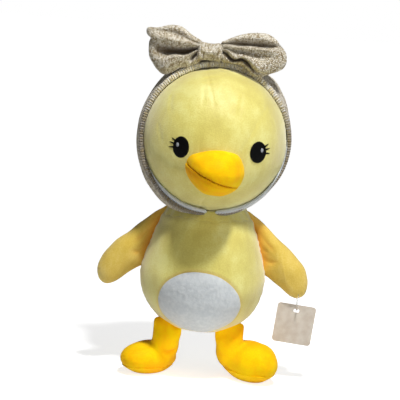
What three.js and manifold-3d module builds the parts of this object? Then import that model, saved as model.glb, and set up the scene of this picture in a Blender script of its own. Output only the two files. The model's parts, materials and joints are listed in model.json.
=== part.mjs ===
// A plush duck, 295 mm tall, with a knitted hood and a bow, standing on its two soles.
// Millimetres, +Z up. The duck faces -Y, so its left side is +X.
import * as THREE from "three";
import { mergeVertices } from "three/addons/utils/BufferGeometryUtils.js";
import Module from "manifold-3d";

const wasm = await Module();
wasm.setup();

const degree = Math.PI / 180;

// Cloth, and the gaps between pieces that lie against each other
const velour = 1.2;
const knit = 1.6;
const lining = 1.0;
const plush = 1.2;
const seam = 0.3;
const turningGap = 0.4;
const overrun = 60; // how far a cutting form reaches past what it cuts

// Heights, stacked from the floor up, so that the pieces keep together
const hipHeight = 39;
const bodyRise = 47; // from the hips to the middle of the body
const shoulderRise = 52.5; // from there to the upper corners of the wings
const neckRise = 58; // and to the middle of the neck
const headRise = 57; // from there to the middle of the head
const bodyHeight = hipHeight + bodyRise;
const shoulderHeight = bodyHeight + shoulderRise;
const neckHeight = bodyHeight + neckRise;
const headHeight = neckHeight + headRise;

// Head: a ball on the neck, with its face towards -Y
const headHalfWidth = 61.5;
const headHalfDepth = 58;
const headHalfHeight = 61;
const faceTurn = 5.2 * degree; // the eyes and the front seam sit a little to the duck's left

// Neck: a stuffed ball that the head nods on
const neckRadius = 17;
const neckBandShare = 0.62; // half height of the neck's cloth, of its radius

// Hood: knitted outside, lined with plush, open at the face and at the neck
const hemForward = 15; // how far the hem lies in front of the head's centre, at its sides
const hemLean = 11 * degree; // the hem leans back towards its top
const hoodNeckRadius = 19.5;
const chinGap = 5; // between the two tips under the chin
const chinTipRadius = 3.6;

// Bill: an upper and a lower half, joined along the mouth line
const billHalfWidth = 24.5;
const billReach = 29; // half its depth, most of which stands out of the face
const billUpperHeight = 18;
const billLowerHeight = 15;
const billRoll = 21 * degree; // the mouth line slopes down to the duck's left
const billDrop = 21.5; // centre below the head's centre
const billSetIn = 6; // how deep the bill's centre lies behind the face

// Eyes: embroidered ovals with lashes, and a small glint on each
const eyeHalfWidth = 6.6;
const eyeHalfHeight = 8.8;
const eyeSpacing = 62;
const eyeDrop = 2.6; // centre below the head's centre
const stitchHeight = 0.9;
const lashLength = 5.5;
const lashWidth = 1.1;
const lashTipShare = 0.4;
const lashAngles = [10 * degree, 26 * degree, 42 * degree];
const glintHalfWidth = 1.7;
const glintHalfHeight = 2.5;
const glintRaiseShare = 0.2; // above the eye's centre, of its half height
const glintSideShare = 0.38; // towards the side of the head, of the eye's half width
const glintHeight = 0.3;

// Bow: a knot that sits on the hood's top, with a loop on each side
const knotSink = 1.5; // how far the hood's curve presses into the knot
const bowForward = 7;
const bowShift = 8; // the knot lies to the duck's right
const knotHalfWidth = 12.2;
const knotHalfHeight = 9.5;
const knotHalfDepth = 9;
const knotEndShare = 0.7; // its size at its two ends, of that in its middle
const leftLoopLength = 52.5;
const leftLoopHalfHeight = 18;
const rightLoopLength = 41.5;
const rightLoopHalfHeight = 21;
const loopHalfDepth = 10.5;
const foldDepthShare = 0.12;
const foldsRound = 7;
// Along a bow loop: place, half height, half depth and how deep the folds are
const loopShares = [
  [0, 0, 0, 0],
  [0.1, 0.46, 0.54, 0.7],
  [0.22, 0.74, 0.82, 1],
  [0.4, 0.92, 0.97, 0.9],
  [0.62, 1, 1, 0.7],
  [0.85, 0.84, 0.8, 0.4],
  [0.96, 0.55, 0.5, 0.1],
  [1, 0, 0, 0],
];

// Body: a pear that is widest low down, with a shallow dish on top for the neck
const bodyHalfWidth = 53.2;
const bodyHalfDepth = 46;
const bodyHalfHeight = 52.4;
// Polar angle from the top, and the radius there as a share of the half sizes
const bodyRadiusShares = [
  [0, 0.935],
  [18, 0.985],
  [26, 1.08],
  [31, 1.175],
  [36, 1.195],
  [43, 1.125],
  [50, 1.076],
  [62, 1.01],
  [75, 0.985],
  [90, 1],
  [120, 0.995],
  [150, 0.96],
  [180, 0.916],
];

// Belly patch: an oval of white plush that reaches under the body
const patchHalfWidth = 36.5;
const patchHalfHeight = 35;
const patchTilt = 28 * degree; // its centre faces this far below the horizontal
const patchShift = 2.5; // to the duck's right
const patchLift = 0.5; // of its back off the body's cloth

// Wings: flat pillows sewn into the side seams
const shoulderInset = 13.1; // the wing's upper corner, in from the body's widest point
const wingReach = 49.5;
const wingDrop = 65.7;
const wingHalfThickness = 10;
const wingRootShare = 0.25; // thickness left at the root, where the seam flattens it
const wingPuff = 0.7; // how quickly the pillow fills out from its edge
const wingMiddleShares = [0.55, -0.6];
// Outline from the shoulder round the tip to the lower end of the seam: reach and drop
const wingOutlineShares = [
  [0, 0],
  [0.24, -0.115],
  [0.43, -0.245],
  [0.62, -0.37],
  [0.79, -0.485],
  [0.92, -0.61],
  [0.99, -0.75],
  [1, -0.86],
  [0.96, -0.95],
  [0.87, -1],
  [0.77, -1],
  [0.65, -0.955],
  [0.48, -0.855],
  [0.276, -0.7],
  [0.147, -0.365],
];

// Legs: a short column, pinched flat where it is sewn to the body, on a long foot
const hipReach = 27;
const hipForward = 12;
const hipGap = 0.95; // the leg's top edge swings under the body's curve
const legHalfWidth = 12;
const ankleForward = 3;
const ankleReach = 30;
// Down the leg: height, place between ankle and hip, half width and half depth
const legShares = [
  [1.3, 1, 0.98, 0.13],
  [1.04, 1, 1, 0.19],
  [0.89, 0.92, 1, 0.52],
  [0.73, 0.65, 1, 0.79],
  [0.53, 0.3, 1.04, 0.95],
  [0.31, 0, 1.1, 1.05],
  [0.15, 0, 0.9, 0.9],
];
const footHalfLength = 29;
const footHalfWidth = 17;
const footHalfHeight = 15;
const footHeight = 12; // the foot's widest level above the floor
const footReach = 40;
const footForward = 3;
const footSplay = 48 * degree;
const footRadiusShares = [
  [0, 1],
  [60, 1.02],
  [90, 1],
  [110, 1.03],
  [130, 1.12],
  [150, 1.15],
  [180, 1.15],
];

// Hang tag: a card on a clear plastic loop through the duck's left wing tip
const tagWidth = 33;
const tagTall = 34;
const tagThickness = 0.5;
const tagCorner = 2.6;
const tagTilt = 5 * degree;
const slotDrop = 5.2; // slot's centre below the card's top edge
const slotWidth = 5;
const slotTall = 3;
const loopWire = 0.9;
const tagLoopHalfHeight = 8.5;
const tagLoopHalfDepth = 6.3;
const loopSquareness = 3; // 2 is an ellipse
const wingHoleRadius = 1.6;
const wingHoleShares = [0.849, -0.906];

// Facets down and round each form, alike on cloth and stuffing so that they lie parallel
const roundRows = 12;
const roundCols = 24;
const facePanelCols = 7;
const roundStep = (2 * Math.PI) / roundCols;
const ballCols = 16;
const bandRows = 4;
const tipCols = 10;
const billRows = 8;
const billCols = 20;
const eyeCols = 18;
const glintCols = 8;
const knotRows = 6;
const loopRows = 11;
const loopCols = 3 * foldsRound;
const patchRows = 4;
const patchCols = 24;
const wingRows = 4;
const wingCols = 20;
const legRows = 7;
const legCols = 12;
const footRows = 8;
const footCols = 14;
const wireRows = 16;
const wireCols = 5;
const holeCols = 12;

const yellow = cloth(0xf0e79a, 0.95);
const gold = cloth(0xf2d25f, 0.95);
const amber = cloth(0xffcc00, 0.95);
const knitted = cloth(0xb9ad93, 0.98);
const white = cloth(0xe8eaea, 0.95);
const thread = cloth(0x0c0c0e, 0.5);
const paleThread = cloth(0xb9bdc2, 0.5);
const fibre = cloth(0xf6f6f2, 1);
const card = cloth(0xded6cc, 0.7);
const clear = cloth(0xf2f2f2, 0.2);

function cloth(colour, roughness) {
  return new THREE.MeshStandardMaterial({ color: colour, roughness, metalness: 0 });
}

function signedVolume(geometry) {
  const place = geometry.attributes.position;
  const corners = [new THREE.Vector3(), new THREE.Vector3(), new THREE.Vector3()];
  let sum = 0;
  for (let i = 0; i < geometry.index.count; i += 3) {
    corners.forEach((corner, k) => corner.fromBufferAttribute(place, geometry.index.getX(i + k)));
    sum += corners[0].dot(corners[1].cross(corners[2]));
  }
  return sum / 6;
}

// Merges points that meet, drops faces that have collapsed, and turns the faces outwards.
function closed(points, faces) {
  const loose = new THREE.BufferGeometry().setFromPoints(points);
  loose.setIndex(faces);
  const geometry = mergeVertices(loose);
  const index = geometry.index.array;
  const kept = [];
  for (let i = 0; i < index.length; i += 3) {
    const [a, b, c] = index.slice(i, i + 3);
    if (a !== b && b !== c && c !== a) kept.push(a, b, c);
  }
  geometry.setIndex(kept);
  if (signedVolume(geometry) < 0) geometry.setIndex(kept.reverse());
  return geometry;
}

function addQuad(faces, a, b, c, d) {
  faces.push(a, b, c, a, c, d);
}

// A curved slab between two layers. at(s, t, layer) gives its points, with s and t from 0 to 1.
function slab(rows, cols, at, ring = false) {
  const points = [];
  const faces = [];
  const id = (i, j, layer) => (i * (cols + 1) + j) * 2 + layer;
  for (let i = 0; i <= rows; i++) {
    for (let j = 0; j <= cols; j++) {
      const t = ring && j === cols ? 0 : j / cols;
      points.push(at(i / rows, t, 0), at(i / rows, t, 1));
    }
  }
  for (let i = 0; i < rows; i++) {
    for (let j = 0; j < cols; j++) {
      addQuad(faces, id(i, j, 0), id(i + 1, j, 0), id(i + 1, j + 1, 0), id(i, j + 1, 0));
      addQuad(faces, id(i, j, 1), id(i, j + 1, 1), id(i + 1, j + 1, 1), id(i + 1, j, 1));
    }
  }
  for (let j = 0; j < cols; j++) {
    addQuad(faces, id(0, j, 0), id(0, j + 1, 0), id(0, j + 1, 1), id(0, j, 1));
    addQuad(faces, id(rows, j, 0), id(rows, j, 1), id(rows, j + 1, 1), id(rows, j + 1, 0));
  }
  for (let i = 0; i < rows && !ring; i++) {
    addQuad(faces, id(i, 0, 0), id(i, 0, 1), id(i + 1, 0, 1), id(i + 1, 0, 0));
    addQuad(faces, id(i, cols, 0), id(i + 1, cols, 0), id(i + 1, cols, 1), id(i, cols, 1));
  }
  return closed(points, faces);
}

// A solid of closed rings from one end to the other. at(s, t) gives its points.
function ringForm(rows, cols, at) {
  const points = [];
  const faces = [];
  const id = (i, j) => i * cols + (j % cols);
  for (let i = 0; i <= rows; i++) {
    for (let j = 0; j < cols; j++) points.push(at(i / rows, j / cols));
  }
  for (let i = 0; i < rows; i++) {
    for (let j = 0; j < cols; j++) {
      addQuad(faces, id(i, j), id(i + 1, j), id(i + 1, j + 1), id(i, j + 1));
    }
  }
  for (const [row, step] of [[0, 0], [rows, 1]]) {
    const middle = new THREE.Vector3();
    for (let j = 0; j < cols; j++) middle.addScaledVector(points[id(row, j)], 1 / cols);
    const middleId = points.push(middle) - 1;
    for (let j = 0; j < cols; j++) faces.push(middleId, id(row, j + step), id(row, j + 1 - step));
  }
  return closed(points, faces);
}

// A tube whose two ends meet. at(s, t) gives its points.
function hoopForm(rows, cols, at) {
  const points = [];
  const faces = [];
  const id = (i, j) => (i % rows) * cols + (j % cols);
  for (let i = 0; i < rows; i++) {
    for (let j = 0; j < cols; j++) points.push(at(i / rows, j / cols));
  }
  for (let i = 0; i < rows; i++) {
    for (let j = 0; j < cols; j++) {
      addQuad(faces, id(i, j), id(i + 1, j), id(i + 1, j + 1), id(i, j + 1));
    }
  }
  return closed(points, faces);
}

function toManifold(geometry) {
  const bare = new THREE.BufferGeometry().setAttribute("position", geometry.attributes.position);
  if (geometry.index) bare.setIndex(geometry.index);
  const merged = mergeVertices(bare);
  return new wasm.Manifold(
    new wasm.Mesh({
      numProp: 3,
      vertProperties: new Float32Array(merged.attributes.position.array),
      triVerts: new Uint32Array(merged.index.array),
    }),
  );
}

function toGeometry(manifold) {
  const mesh = manifold.getMesh();
  const geometry = new THREE.BufferGeometry();
  geometry.setAttribute("position", new THREE.BufferAttribute(mesh.vertProperties, 3));
  geometry.setIndex(new THREE.BufferAttribute(mesh.triVerts, 1));
  return geometry;
}

function cutBy(geometry, ...tools) {
  const cut = (rest, tool) => rest.subtract(toManifold(tool));
  return toGeometry(tools.reduce(cut, toManifold(geometry)));
}

function joined(first, ...others) {
  const add = (whole, piece) => whole.add(toManifold(piece));
  return toGeometry(others.reduce(add, toManifold(first)));
}

function within(geometry, tool) {
  return toGeometry(toManifold(geometry).intersect(toManifold(tool)));
}

// Value that runs smoothly through pairs of an angle in degrees and a share.
function smoothShares(pairs) {
  const angles = pairs.map(([angle]) => angle * degree);
  const curve = new THREE.CubicInterpolant(angles, pairs.map(([, share]) => share), 1);
  return (angle) => curve.evaluate(angle)[0];
}

// Surface of a round form with poles above and below its centre. turn is 0 at the front.
function roundSurface({ centre, halfWidth, halfDepth, halfHeight, halfHeightBelow, shares }) {
  const radiusShare = shares ? smoothShares(shares) : () => 1;
  const below = halfHeightBelow ?? halfHeight;
  return (polar, turn, lift = 0) => {
    const share = radiusShare(polar);
    const height = polar < Math.PI / 2 ? halfHeight : below;
    return new THREE.Vector3(
      centre.x + (halfWidth * share + lift) * Math.sin(polar) * Math.sin(turn),
      centre.y - (halfDepth * share + lift) * Math.sin(polar) * Math.cos(turn),
      centre.z + (height * share + lift) * Math.cos(polar),
    );
  };
}

function roundSolid(surface, rows, cols, lift, startTurn = 0) {
  const at = (s, t) => surface(s * Math.PI, startTurn + t * 2 * Math.PI, lift);
  return ringForm(rows, cols, at);
}

// A panel of cloth on a round form, pole to pole, some columns of facets wide.
function roundPanel(surface, cols, fromTurn, gapAngle) {
  const toTurn = fromTurn + cols * roundStep;
  return slab(roundRows, cols, (s, t, layer) => {
    const turn = fromTurn + t * (toTurn - fromTurn);
    const held = THREE.MathUtils.clamp(turn, fromTurn + gapAngle, toTurn - gapAngle);
    return surface(s * Math.PI, held, -layer * velour);
  });
}

function ball(centre, radius, cols) {
  const surface = roundSurface({
    centre,
    halfWidth: radius,
    halfDepth: radius,
    halfHeight: radius,
  });
  return roundSolid(surface, cols / 2, cols, 0);
}

const headCentre = new THREE.Vector3(0, 0, headHeight);
const headSurface = roundSurface({
  centre: headCentre,
  halfWidth: headHalfWidth,
  halfDepth: headHalfDepth,
  halfHeight: headHalfHeight,
});
const bodySurface = roundSurface({
  centre: new THREE.Vector3(0, 0, bodyHeight),
  halfWidth: bodyHalfWidth,
  halfDepth: bodyHalfDepth,
  halfHeight: bodyHalfHeight,
  shares: bodyRadiusShares,
});
const neckCentre = new THREE.Vector3(0, 0, neckHeight);
const socketRadius = (neckRadius + turningGap) / Math.cos(Math.PI / ballCols);
const neckSocket = ball(neckCentre, socketRadius, ballCols);

// Point of the face at a place seen from the front, lifted off the cloth.
function onFace(x, z, lift) {
  const width = x / (headHalfWidth + lift);
  const height = (z - headHeight) / (headHalfHeight + lift);
  const depth = Math.sqrt(1 - width * width - height * height);
  return new THREE.Vector3(x, -(headHalfDepth + lift) * depth, z);
}

// The head's own solid at a lift from its cloth, faceted as its panels are.
function headSolid(lift) {
  return roundSolid(headSurface, roundRows, roundCols, lift, faceTurn);
}

function addHead(add) {
  const gap = seam / 2 / headHalfWidth;
  const faceWidth = facePanelCols * roundStep;
  const panels = [
    ["head_panel_right", faceTurn - faceWidth, facePanelCols],
    ["head_panel_left", faceTurn, facePanelCols],
    ["head_panel_back", faceTurn + faceWidth, roundCols - 2 * facePanelCols],
  ];
  for (const [name, from, cols] of panels) {
    add(name, cutBy(roundPanel(headSurface, cols, from, gap), neckSocket), yellow);
  }
  add("head_fill", cutBy(headSolid(-velour - seam), neckSocket), fibre);
}

function addNeck(add) {
  const top = Math.acos(neckBandShare);
  const band = slab(
    bandRows,
    ballCols,
    (s, t, layer) => {
      const polar = THREE.MathUtils.lerp(top, Math.PI - top, s);
      const radius = neckRadius - layer * velour;
      return new THREE.Vector3()
        .setFromSphericalCoords(radius, polar, t * 2 * Math.PI)
        .applyAxisAngle(new THREE.Vector3(1, 0, 0), Math.PI / 2)
        .add(neckCentre);
    },
    true,
  );
  add("neck_skin", band, yellow);
  add("neck_fill", ball(neckCentre, neckRadius - velour - seam, ballCols), fibre);
}

// A block in front of the hood's hem.
function facing() {
  const block = new THREE.BoxGeometry(4 * overrun, 2 * overrun, 4 * overrun);
  block.translate(0, -overrun, 0).rotateX(-hemLean).translate(0, -hemForward, headHeight);
  return block;
}

function hoodLayer(lift, thickness) {
  return cutBy(
    headSolid(lift + thickness),
    headSolid(lift),
    facing(),
    uprightCylinder(hoodNeckRadius, 0, 0, roundCols),
    chinCut(),
  );
}

// A cylinder through the underside of the head.
function uprightCylinder(radius, x, y, sides) {
  return new THREE.CylinderGeometry(radius, radius, overrun, sides)
    .rotateX(Math.PI / 2)
    .translate(x, y, neckHeight);
}

// The gap under the chin, less the two rounded tips beside it.
function chinCut() {
  const tipReach = chinGap / 2 + chinTipRadius;
  const tipForward = hoodNeckRadius + chinTipRadius;
  const notch = new THREE.BoxGeometry(2 * tipReach, overrun, overrun);
  notch.translate(0, -overrun / 2, neckHeight);
  const tips = [-1, 1].map((side) =>
    uprightCylinder(chinTipRadius, side * tipReach, -tipForward, tipCols),
  );
  return cutBy(notch, ...tips);
}

function addHood(add) {
  const liningLift = seam;
  const knitLift = liningLift + lining + seam;
  add("hood_lining", hoodLayer(liningLift, lining), white);
  add("hood_knit", hoodLayer(knitLift, knit), knitted);
}

function addBill(add) {
  const surface = roundSurface({
    centre: new THREE.Vector3(),
    halfWidth: billHalfWidth,
    halfDepth: billReach,
    halfHeight: billUpperHeight,
    halfHeightBelow: billLowerHeight,
  });
  const face = headSolid(seam);
  const centre = onFace(0, headHeight - billDrop, -billSetIn);
  const place = (geometry) => {
    geometry.rotateY(billRoll).translate(centre.x, centre.y, centre.z);
    return cutBy(geometry, face);
  };
  const half = (from, to) => {
    const at = (s, t, layer) =>
      surface(THREE.MathUtils.lerp(from, to, s), t * 2 * Math.PI, -layer * velour);
    return place(slab(billRows / 2, billCols, at, true));
  };
  const gap = seam / 2 / billUpperHeight;
  add("bill_upper", half(0, Math.PI / 2 - gap), amber);
  add("bill_lower", half(Math.PI / 2 + gap, Math.PI), amber);
  add("bill_fill", place(roundSolid(surface, billRows, billCols, -velour - seam)), fibre);
}

// An oval of thread on the face, raised most in its middle.
function stitchedOval(x, z, halfWidth, halfHeight, from, height, cols) {
  return slab(
    2,
    cols,
    (s, t, layer) => {
      const angle = t * 2 * Math.PI;
      const crown = height * (1 - s * s / 2);
      const lift = layer ? from : from + crown;
      return onFace(
        x + s * halfWidth * Math.cos(angle),
        z + s * halfHeight * Math.sin(angle),
        lift,
      );
    },
    true,
  );
}

// A tapered stroke of thread that starts inside the eye's edge.
function lash(x, z, side, angle) {
  const rootShare = 0.9;
  const out = new THREE.Vector2(side * Math.cos(angle), Math.sin(angle));
  const across = new THREE.Vector2(-out.y, out.x);
  const root = new THREE.Vector2(
    x + rootShare * eyeHalfWidth * out.x,
    z + rootShare * eyeHalfHeight * out.y,
  );
  return slab(2, 1, (s, t, layer) => {
    const width = lashWidth * THREE.MathUtils.lerp(1, lashTipShare, s);
    const point = root.clone().addScaledVector(out, s * lashLength);
    point.addScaledVector(across, (t - 0.5) * width);
    return onFace(point.x, point.y, layer ? seam : seam + stitchHeight / 2);
  });
}

function addEyes(add) {
  const middle = headHalfDepth * Math.sin(faceTurn);
  const z = headHeight - eyeDrop;
  for (const [word, side] of [["right", -1], ["left", 1]]) {
    const x = middle + (side * eyeSpacing) / 2;
    const oval = stitchedOval(x, z, eyeHalfWidth, eyeHalfHeight, seam, stitchHeight, eyeCols);
    const lashes = lashAngles.map((angle) => lash(x, z, side, angle));
    add("eye_" + word, joined(oval, ...lashes), thread);
    const glint = stitchedOval(
      x + side * glintSideShare * eyeHalfWidth,
      z + glintRaiseShare * eyeHalfHeight,
      glintHalfWidth,
      glintHalfHeight,
      seam + stitchHeight + seam,
      glintHeight,
      glintCols,
    );
    add("eye_glint_" + word, glint, paleThread);
  }
}

// Values along a form at a share of its length, smoothly through its stations.
function smoothStations(stations) {
  const places = stations.map((station, i) => i / (stations.length - 1));
  const curve = new THREE.CubicInterpolant(places, stations.flat(), stations[0].length);
  return (share) => curve.evaluate(share);
}

const hoodOutside = seam + lining + seam + knit;
const knotCentre = new THREE.Vector3(
  -bowShift,
  -bowForward,
  headHeight + headHalfHeight + hoodOutside + knotHalfHeight - knotSink,
);

function addBowLoop(add, name, side, length, halfHeight) {
  const sizes = smoothStations(loopShares);
  const rootGap = turningGap / 2 + seam;
  const at = (s, t) => {
    const [along, tall, deep, fold] = sizes(s);
    const angle = t * 2 * Math.PI;
    const wave = 1 + foldDepthShare * fold * Math.cos(foldsRound * angle);
    return new THREE.Vector3(
      side * (knotHalfWidth + rootGap + along * length),
      deep * loopHalfDepth * wave * Math.sin(angle),
      tall * halfHeight * wave * Math.cos(angle),
    ).add(knotCentre);
  };
  const loop = ringForm(loopRows, loopCols, at);
  add(name, cutBy(loop, headSolid(hoodOutside + seam)), knitted);
}

function addBow(add) {
  const at = (s, t) => {
    const along = 2 * s - 1;
    const angle = t * 2 * Math.PI;
    const size = THREE.MathUtils.lerp(1, knotEndShare, along * along);
    const wave = 1 + (foldDepthShare / 2) * Math.cos(foldsRound * angle);
    return new THREE.Vector3(
      along * knotHalfWidth,
      size * wave * knotHalfDepth * Math.sin(angle),
      size * wave * knotHalfHeight * Math.cos(angle),
    ).add(knotCentre);
  };
  const knot = ringForm(knotRows, loopCols, at);
  add("bow_knot", cutBy(knot, headSolid(hoodOutside + seam)), knitted);
  addBowLoop(add, "bow_loop_left", 1, leftLoopLength, leftLoopHalfHeight);
  addBowLoop(add, "bow_loop_right", -1, rightLoopLength, rightLoopHalfHeight);
}

function addBody(add) {
  const gap = seam / 2 / bodyHalfWidth;
  const side = Math.PI / 2;
  const cols = roundCols / 2;
  const front = roundPanel(bodySurface, cols, -side, gap);
  const back = roundPanel(bodySurface, cols, side, gap);
  add("body_panel_front", cutBy(front, neckSocket), yellow);
  add("body_panel_back", cutBy(back, neckSocket), yellow);
  const fill = roundSolid(bodySurface, roundRows, roundCols, -velour - seam);
  add("body_fill", cutBy(fill, neckSocket), fibre);
}

function addBellyPatch(add) {
  const ahead = new THREE.Vector3(0, -Math.cos(patchTilt), -Math.sin(patchTilt));
  const up = new THREE.Vector3(0, -Math.sin(patchTilt), Math.cos(patchTilt));
  const aside = new THREE.Vector3(1, 0, 0);
  ahead.applyAxisAngle(up, -patchShift / bodyHalfWidth);
  const at = (s, t, layer) => {
    const angle = t * 2 * Math.PI;
    const width = (s * patchHalfWidth * Math.cos(angle)) / bodyHalfWidth;
    const height = (s * patchHalfHeight * Math.sin(angle)) / bodyHalfHeight;
    const bend = Math.hypot(width, height);
    const sideways = aside.clone().multiplyScalar(width).addScaledVector(up, height);
    const away = sideways.multiplyScalar(bend ? Math.sin(bend) / bend : 0);
    const direction = away.addScaledVector(ahead, Math.cos(bend)).normalize();
    const turn = Math.atan2(direction.x, -direction.y);
    return bodySurface(Math.acos(direction.z), turn, patchLift + (1 - layer) * plush);
  };
  add("belly_patch", slab(patchRows, patchCols, at, true), white);
}

function shareVector([reach, drop]) {
  const shoulder = bodyHalfWidth - shoulderInset;
  return new THREE.Vector2(shoulder + reach * wingReach, shoulderHeight + drop * wingDrop);
}

const wingRoot = [shareVector(wingOutlineShares[0]), shareVector(wingOutlineShares.at(-2))];

// Surface of a wing's pillow. s runs from its middle to its seam, face is -1 in front.
function wingSurface(side, face) {
  const middle = shareVector(wingMiddleShares);
  const outline = new THREE.CatmullRomCurve3(
    wingOutlineShares.map(shareVector).map(({ x, y }) => new THREE.Vector3(x, 0, y)),
    true,
    "centripetal",
  );
  const seamLine = wingRoot[1].clone().sub(wingRoot[0]).normalize();
  return (s, t, lift) => {
    const edge = outline.getPoint(t);
    const spoke = new THREE.Vector2(edge.x, edge.z).sub(middle);
    spoke.setLength(spoke.length() + lift);
    const point = middle.clone().addScaledVector(spoke, s);
    const fromRoot = Math.abs(point.clone().sub(wingRoot[0]).cross(seamLine));
    const rise = THREE.MathUtils.smoothstep(fromRoot, 0, 2 * wingHalfThickness);
    const full = THREE.MathUtils.lerp(wingRootShare, 1, rise);
    const thick = (wingHalfThickness + lift) * full * Math.pow(1 - s * s, wingPuff);
    return new THREE.Vector3(side * point.x, face * thick, point.y);
  };
}

function addWing(add, word, side, hole) {
  const opened = (geometry) => (hole ? cutBy(geometry, hole) : geometry);
  for (const [name, face] of [["front", -1], ["back", 1]]) {
    const surface = wingSurface(side, face);
    const at = (s, t, layer) => {
      const spread = face < 0 ? s : 1 - s;
      const point = surface(spread, t, -layer * velour);
      point.y += (face * seam) / 2;
      return point;
    };
    add(`wing_${word}_${name}`, opened(slab(wingRows, wingCols, at, true)), gold);
  }
  const both = [wingSurface(side, -1), wingSurface(side, 1)];
  const fill = ringForm(2 * wingRows, wingCols, (s, t) => {
    const spread = 1 - Math.abs(2 * s - 1);
    return both[s < 0.5 ? 0 : 1](spread, t, -velour - seam);
  });
  add(`wing_${word}_fill`, opened(fill), fibre);
}

// The leg's column and the foot as closed forms, drawn in from the outside by inset.
function legForms(side, inset) {
  const stations = legShares.map(([tall, toHip, wide, deep]) => [
    THREE.MathUtils.lerp(ankleReach, hipReach, toHip),
    -THREE.MathUtils.lerp(ankleForward, hipForward, toHip),
    tall * hipHeight,
    wide * legHalfWidth,
    deep * legHalfWidth,
  ]);
  const sizes = smoothStations(inset ? stations.slice(1) : stations);
  const column = ringForm(legRows, legCols, (s, t) => {
    const [x, y, z, wide, deep] = sizes(s);
    const angle = t * 2 * Math.PI;
    return new THREE.Vector3(
      side * (x + (wide - inset) * Math.sin(angle)),
      y + (deep - Math.min(inset, deep / 2)) * Math.cos(angle),
      s ? z : z - inset,
    );
  });
  const surface = roundSurface({
    centre: new THREE.Vector3(0, 0, footHeight),
    halfWidth: footHalfWidth,
    halfDepth: footHalfLength,
    halfHeight: footHalfHeight,
    shares: footRadiusShares,
  });
  const foot = roundSolid(surface, footRows, footCols, -inset);
  foot.rotateZ(side * footSplay).translate(side * footReach, -footForward, 0);
  return joined(column, foot);
}

// A block that fills everything below a level.
function belowLevel(level) {
  const size = 4 * overrun;
  return new THREE.BoxGeometry(size, size, overrun).translate(0, 0, level - overrun / 2);
}

function addLeg(add, word, side) {
  const underBody = roundSolid(bodySurface, roundRows, roundCols, hipGap);
  const outside = cutBy(legForms(side, 0), underBody);
  const upper = cutBy(outside, legForms(side, velour), belowLevel(velour + seam));
  const fill = cutBy(legForms(side, velour + seam), underBody, belowLevel(velour + 2 * seam));
  const soleSlab = cutBy(belowLevel(velour), belowLevel(0));
  add(`leg_${word}_upper`, upper, amber);
  add(`leg_${word}_sole`, within(outside, soleSlab), amber);
  add(`leg_${word}_fill`, fill, fibre);
}

function roundedRectangle(Path, width, tall, radius) {
  const path = new Path();
  const [x, y] = [width / 2 - radius, tall / 2 - radius];
  const corners = [[x, y], [-x, y], [-x, -y], [x, -y]];
  corners.forEach(([cx, cy], i) => {
    path.absarc(cx, cy, radius, (i * Math.PI) / 2, ((i + 1) * Math.PI) / 2, false);
  });
  return path;
}

// The loop stands across the card and passes through the wing tip and the card's slot.
function addTag(add) {
  const hole = shareVector(wingHoleShares);
  const middle = new THREE.Vector3(hole.x, 0, hole.y - tagLoopHalfHeight);
  const rounded = (value) => Math.sign(value) * Math.pow(Math.abs(value), 2 / loopSquareness);
  const route = (s) => {
    const angle = s * 2 * Math.PI;
    return new THREE.Vector3(
      0,
      tagLoopHalfDepth * rounded(Math.cos(angle)),
      tagLoopHalfHeight * rounded(Math.sin(angle)),
    );
  };
  const wire = hoopForm(wireRows, wireCols, (s, t) => {
    const outward = route(s).normalize();
    const angle = t * 2 * Math.PI;
    const radius = loopWire / 2;
    const point = route(s).addScaledVector(outward, radius * Math.cos(angle));
    point.x += radius * Math.sin(angle);
    return point.add(middle);
  });
  add("tag_loop", wire, clear);
  const outline = roundedRectangle(THREE.Shape, tagWidth, tagTall, tagCorner);
  const slotPlace = tagTall / 2 - slotDrop;
  const slot = roundedRectangle(THREE.Path, slotWidth, slotTall, slotTall / 2 - seam);
  const slotPoints = slot.getPoints(2).map((point) => point.add({ x: 0, y: slotPlace }));
  outline.holes.push(new THREE.Path(slotPoints));
  const paper = new THREE.ExtrudeGeometry(outline, {
    depth: tagThickness,
    bevelEnabled: false,
    curveSegments: 3,
  });
  paper.translate(0, -slotPlace - slotTall / 2, -tagThickness / 2);
  paper.rotateX(Math.PI / 2).rotateY(tagTilt);
  const wireTop = middle.z - tagLoopHalfHeight + loopWire / 2;
  paper.translate(middle.x, 0, wireTop + seam);
  add("tag_card", paper, card);
}

function wingHole() {
  const place = shareVector(wingHoleShares);
  const hole = new THREE.CylinderGeometry(wingHoleRadius, wingHoleRadius, overrun, holeCols);
  return hole.translate(place.x, 0, place.y);
}

function makeDuck() {
  const duck = new THREE.Group();
  const add = (name, geometry, material) => {
    const mesh = new THREE.Mesh(geometry, material);
    mesh.name = name;
    duck.add(mesh);
  };
  addHead(add);
  addNeck(add);
  addHood(add);
  addBill(add);
  addEyes(add);
  addBow(add);
  addBody(add);
  addBellyPatch(add);
  addWing(add, "right", -1);
  addWing(add, "left", 1, wingHole());
  addLeg(add, "right", -1);
  addLeg(add, "left", 1);
  addTag(add);
  return duck;
}

// The origin is on the floor, under the middle of the whole duck's box.
const duck = makeDuck();
const box = new THREE.Box3().setFromObject(duck);
const middle = box.getCenter(new THREE.Vector3());
duck.position.set(-middle.x, -middle.y, -box.min.z);

export default duck;
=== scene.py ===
# %% [markdown]
# # A plush duck in a knitted hood
# The solids of the duck are loaded first and never change: they say where each piece is and
# how it moves. Every cell below dresses one sewn piece in its real cloth, over its own solid.
# %% Load the solids
import json
import math
import bpy
import numpy as np
from mathutils import Matrix, Vector, noise


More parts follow.
